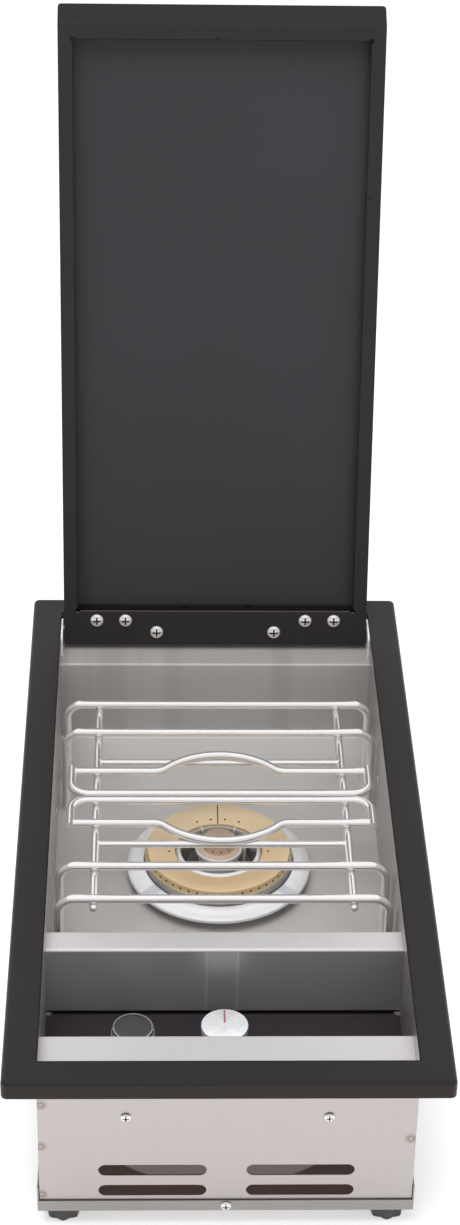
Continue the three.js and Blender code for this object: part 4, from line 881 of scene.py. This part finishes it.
# %% [markdown]
# ## The brass burner ring
#
# The ring is turned from brass. Its top falls slightly towards the bore, fifty ports sit under its outer
# edge, and six small holes and one groove carry the first flame round. The ports could be a texture, but
# real pits keep their shadow from every side.

# %% Turn, drill and cut the ring
BURNER_MM = Vector(BURNER_AXIS) / MM
RING_TOP, RING_SEAT, RING_WALL = FIREBOX_FLOOR + 30, FIREBOX_FLOOR + 23.5, 3.2
RING_EDGE, RING_BORE, RING_DISH = 61.3, 38.0, 2.7
RING_INNER_TOP = RING_TOP - RING_DISH
PORTS, PORT_FIRST, PORT_RADIUS, PORT_LEAN = 50, math.radians(3.6 - 90), 0.92, 0.27
LIGHTERS, LIGHTER_CIRCLE = (8.4, 25.3, 94), 43.2


def burner_ring():
    """The ring with its ports, its six top holes and its groove."""
    shape = turned([
        [64.2, RING_SEAT], [64.2, RING_SEAT + 1], [63.3, RING_TOP - 4.4], [62.7, RING_TOP - 2.2],
        [62.4, RING_TOP - 1], [61.95, RING_TOP - 0.3], [RING_EDGE, RING_TOP],
        [RING_BORE + 0.4, RING_INNER_TOP], [RING_BORE, RING_INNER_TOP - 0.4],
        [RING_BORE, RING_INNER_TOP - RING_WALL], [57.1, RING_TOP - RING_WALL - 0.5],
        [55.2, RING_SEAT - 3], [57.2, RING_SEAT - 3], [57.2, RING_SEAT],
    ], BURNER_AXIS, steps=4 * PORTS, closed=True, start=PORT_FIRST - TURN / (8 * PORTS))
    cutter = bmesh.new()
    port_pegs(cutter, BURNER_MM, PORT_FIRST, PORTS, 63.0, RING_TOP - 3.3, PORT_LEAN, PORT_RADIUS)
    for degrees in LIGHTERS:
        angle = math.radians(degrees)
        for side in (-1, 1):
            aside = Vector((side * math.sin(angle), math.cos(angle), 0)) * LIGHTER_CIRCLE
            peg(cutter, BURNER_MM + aside + Z * RING_INNER_TOP, Z, 1.0, 6)
    slope = Vector((0, RING_EDGE - RING_BORE, RING_DISH))
    groove_middle = BURNER_MM + Y * RING_BORE + Z * RING_INNER_TOP + slope / 2
    peg(cutter, groove_middle, slope, 0.5, slope.length + 4)
    return finished_mesh(carved(shape, cutter, lined=True), "burner_ring")


ring = add_piece("burner_ring_turned", burner_ring(), ring_brass, "burner_ring", lining=soot)
print("ring faces:", len(ring.data.polygons))

# %% [markdown]
# ## The middle of the burner
#
# Inside the ring sit a bright cone with a flat beaded rim, a small cap with twelve ports in its side, and
# a chrome collar under the cap's flange. Round them lies the polished ring that covers the cut in the
# floor. It could be a flat washer, but a thick rolled lip keeps the real one stiff and makes the brightest
# line of the whole burner. Outlines are pairs of radius and height in millimetres.

# %% Turn the cone, the cap and the trim ring
turned_piece("inner_cone", cone_steel, [
    [27.5, 76], [27.5, 79], [32.7, 88.3], *arc(33.5, 88.6, 0.5, 2, 0.8), [37.4, 87.5], [37.65, 87.2],
    [37.65, 86.6], [34, 86.6], [31, 80], [31, 76],
], BURNER_AXIS, closed=True)
turned_piece("trim_ring", ring_polish, [
    [65.2, 62], [66.2, 62], [66.2, 77.4], [78.9, 73.6], [79.2, 71.3], *arc(79.6, 71.9, 0.6, 3, 4, 3),
    *arc(78.8, 73.1, 1.4, 0, 0.83), *arc(66.0, 77.8, 0.8, 0.83, 2),
], BURNER_AXIS, steps=144, closed=True)
turned_piece("cap_collar", collar_steel, [
    [14.5, 88.5], *arc(20.0, 89.0, 0.5, 3, 4, 3), *arc(20.0, 91.5, 0.5, 0, 1, 3), [17.8, 92], [17.8, 90],
    [14.5, 90],
], BURNER_AXIS, closed=True)
CAP_PORTS, CAP_FIRST, CAP_RADIUS = 12, math.radians(7 - 90), 14
cap_shape = turned([
    [0, 84], [14.5, 84], [14.5, 90], [17.8, 90], *arc(17.4, 92.6, 0.4, 0, 1, 3), [14.5, 93], [14.1, 93.15],
    [CAP_RADIUS, 93.5], [CAP_RADIUS, 95.65], [CAP_RADIUS, 97.55], *arc(13.1, 101.6, 0.9, 0, 1), [0, 102.5],
], BURNER_AXIS, steps=4 * CAP_PORTS, start=CAP_FIRST - TURN / (8 * CAP_PORTS))
cap_drill = bmesh.new()
port_pegs(cap_drill, BURNER_MM, CAP_FIRST, CAP_PORTS, CAP_RADIUS, 96.6, lean=0, radius=0.85)
cap_mesh = finished_mesh(carved(cap_shape, cap_drill, lined=True), "burner_cap")
cap = add_piece("burner_cap_turned", cap_mesh, cap_copper, "burner_cap", lining=soot)
print("cap faces:", len(cap.data.polygons))

# %% [markdown]
# ## The probes
#
# Two probes stand behind the cap: the spark electrode on the left and the thermocouple on the right. Their
# bright tips lean out towards the flame. They could be turned and then tilted, but they are bent wire, so
# the wire former makes them too. A short ceramic post stands to the right of the cap.


# %% Bend the probes
TIP, SHAFT, POST = 1.35, 1.9, 1.5
PROBE_ANGLE, PROBE_CIRCLE, PROBE_LEAN = math.radians(36), 23, math.radians(40)
THICK_TO, THIN_FROM = 87.6, 88.0


def bent_probe(node, side, foot, radius):
    """A probe from a foot height in mm up to its leaning tip, thinner above THIN_FROM."""
    shape = bmesh.new()
    away = Vector((side * math.sin(PROBE_ANGLE), math.cos(PROBE_ANGLE), 0))
    place = (BURNER_MM + away * PROBE_CIRCLE + Z * foot) * MM
    stalk = Wire(shape, place, Z, radius * MM, sides=16)
    if foot < THIN_FROM:
        stalk.run((THICK_TO - foot) * MM).run((THIN_FROM - THICK_TO) * MM, TIP / radius)
        stalk.radius = TIP * MM
    stalk.run(6 * MM).bend(Z.cross(away), PROBE_LEAN, 2 * MM, steps=5).run(2.6 * MM).close(dome=True)
    return add_piece(f"{node}_bent", finished_mesh(shape, node, 60), chrome, node)


probes = [bent_probe("electrode_tip", -1, THIN_FROM, TIP), bent_probe("thermocouple", 1, 56.0, SHAFT)]
post = bmesh.new()
post_foot = (BURNER_MM + Vector((22.6, 7, 56.1))) * MM
Wire(post, post_foot, Z, POST * MM, sides=16).run(29 * MM).close(dome=True)
post_mesh = finished_mesh(post, "probe_post", 60)
add_piece("probe_post", post_mesh, glazed_ceramic, body=body_of["electrode_ceramic"])
print("probe faces:", [len(probe.data.polygons) for probe in probes])

# %% [markdown]
# ## The knob and the igniter
#
# The knob is a turned piece of aluminium: a wide disc on a narrower neck, with a milled slot that runs
# from near its rear edge to the middle and holds a red mark. The igniter is a dark cap in a thin bright
# ring, and it goes down inside a wider collar. The mark could be painted on the knob's face, but an inlay
# of its own keeps the slot's edge and turns with the knob.

# %% Turn the knob and the button
IGNITER_AXIS = (-0.0728, KNOB_AXIS[1], 0)
KNOB_TOP = 109
SLOT_Y, SLOT_WIDTH, SLOT_LENGTH = -224.4, 1.6, 15.0


def pointer_box(top, length, thickness):
    """A flat box over the knob's slot, with its middle at a height; all in mm."""
    shape = bmesh.new()
    size = Matrix.Diagonal((*(Vector((SLOT_WIDTH, length, thickness)) * MM), 1))
    place = Matrix.Translation(Vector((KNOB_AXIS[0] / MM, SLOT_Y, top)) * MM)
    bmesh.ops.create_cube(shape, size=1.0, matrix=place @ size)
    return shape


knob_shape = turned([
    [0, 103], [3.8, 103], [3.8, 87], [15.0, 87], *arc(15.0, 87.6, 0.6, 3, 4, 3), [15.6, 101.2],
    *arc(18.2, 101.8, 0.6, 3, 4, 3), *arc(17.9, KNOB_TOP - 0.9, 0.9, 0, 1), [0, KNOB_TOP],
], KNOB_AXIS)
knob_mesh = finished_mesh(carved(knob_shape, pointer_box(KNOB_TOP, SLOT_LENGTH, 1.0)), "knob")
add_piece("knob_turned", knob_mesh, knob_face, "knob")
mark_mesh = finished_mesh(pointer_box(KNOB_TOP - 0.25, SLOT_LENGTH - 0.2, 0.5), "knob_pointer")
add_piece("knob_pointer_inlaid", mark_mesh, red_line, "knob_pointer")
turned_piece("igniter_cap", button_plastic, [
    [0, 78], [5, 78], [5, 91.5], [14.6, 91.5], *arc(13.8, 105.8, 0.8, 0, 0.8), [12, 106.75], [0, 106.9],
], IGNITER_AXIS)
turned_piece("igniter_rim", chrome, [
    [14.65, 91.5], [16.2, 91.5], *arc(15.7, 106.5, 0.5, 0, 1), [14.65, 106.9],
], IGNITER_AXIS, closed=True)
turned_piece("igniter_collar", chrome, [
    [11, 83], *arc(17.2, 83.4, 0.4, 3, 4, 2), *arc(17.1, 100.5, 0.5, 0, 1), *arc(17.0, 100.5, 0.5, 1, 2),
    [16.5, 84.5], [11, 84.5],
], IGNITER_AXIS, closed=True)
print("knob faces:", len(knob_mesh.polygons))

# %% [markdown]
# ## Screws and feet
#
# All twelve screws are pan heads with a cross recess, in three sizes. Each could be turned by itself, but
# one screw is turned and cut once at unit size, and each node gets a scaled copy at its own apex. The feet
# keep their lobed CAD form, 15 per cent wider and with softer edges.


# %% Cut one screw and place its copies
LID_HEAD, PANEL_HEAD, WALL_HEAD = 6.2, 4.3, 3.2
HEAD_RISE = 0.5
CROSS_ARM, CROSS_WIDTH, CROSS_DEPTH = 1.15, 0.24, 0.75
FOOT_EDGE, FOOT_SWELL = 0.7, 1.15


def pan_head():
    """A screw with a head of radius 1, its apex at the origin and its axis along Z."""
    stem = [[0, -2.2], [0.4, -2.2], [0.4, -HEAD_RISE], [0.96, -HEAD_RISE], [1, -HEAD_RISE + 0.05]]
    dome = [[math.cos(a), HEAD_RISE * (math.sin(a) - 1)] for a in (0.35, 0.6, 0.85, 1.1, 1.35)]
    shape = turned([[r / MM, z / MM] for r, z in (*stem, *dome, (0, 0))], (0, 0, 0), steps=32)
    for size in ((CROSS_WIDTH, CROSS_ARM, CROSS_DEPTH), (CROSS_ARM, CROSS_WIDTH, CROSS_DEPTH)):
        cutter = bmesh.new()
        bmesh.ops.create_cube(cutter, size=1.0, matrix=Matrix.Diagonal((*size, 1)))
        shape = carved(shape, cutter, lined=True)
    return finished_mesh(shape, "pan_head", 40)


def place_screw(node, heading, radius):
    """Copies the screw to the furthest point of its node along a heading."""
    heading = Vector(heading).normalized()
    corners = [nodes[node].matrix_world @ vert.co for vert in nodes[node].data.vertices]
    reach = max(corner.dot(heading) for corner in corners)
    apexes = [corner for corner in corners if reach - corner.dot(heading) < SAME_PLACE]
    apex = sum(apexes, Vector()) / len(apexes)
    shape = bmesh.new()
    shape.from_mesh(master)
    turn = heading.to_track_quat("Z", "Y").to_matrix().to_4x4()
    seat = Matrix.Translation(apex) @ turn @ Matrix.Scale(radius * MM, 4)
    bmesh.ops.transform(shape, matrix=seat, verts=shape.verts)
    add_piece(f"{node}_cut", finished_mesh(shape, node, 40), screw_steel, node, lining=soot)


master = pan_head()
for side, inward in (("left", X), ("right", -X)):
    for i in (1, 2, 3):
        place_screw(f"lid_screw_{side}_{i}", LID_OUT, LID_HEAD)
    place_screw(f"front_screw_{side}", -Y, PANEL_HEAD)
    place_screw(f"wall_screw_{side}", inward, WALL_HEAD)
    for end in ("front", "rear"):
        dress(f"foot_{end}_{side}", dark_plastic, FOOT_EDGE, swell=FOOT_SWELL)
place_screw("tray_screw_front", -Y, PANEL_HEAD)
place_screw("tray_screw_rear", Y, PANEL_HEAD)
bpy.data.meshes.remove(master)
print("nodes without a piece:", sorted(node for node in nodes if not nodes[node].hide_render))

# %% [markdown]
# ## Write the sizes and finish
#
# The floor is part of the studio and not of the object. Seen from the camera or in a mirror it glows a
# little on top of its own near white, so that it looks white and still takes shadows. In all other light
# it is a plain pale floor, which lights the part from below as a white table does. A paper sweep would do
# the same with one more curved sheet.

# %% Lay the floor
FLOOR_HALF = 6.0


def white_floor():
    """A floor that is white where nothing shades it."""
    shape = bmesh.new()
    bmesh.ops.create_grid(shape, x_segments=1, y_segments=1, size=FLOOR_HALF)
    floor = bpy.data.objects.new("floor", finished_mesh(shape, "floor"))
    scene.collection.objects.link(floor)
    finish = Finish("floor_white", (0.82, 0.82, 0.82), 0.0, 0.9, Emission_Strength=1.0)
    from_camera = finish.node("ShaderNodeLightPath", output="Is Camera Ray")
    from_metal = finish.node("ShaderNodeLightPath", output="Is Glossy Ray")
    glow = finish.blend(from_camera + from_metal, (0, 0, 0), (0.42, 0.42, 0.42))
    finish.drive("Emission Color", glow)
    floor.data.materials.append(finish.material)


white_floor()
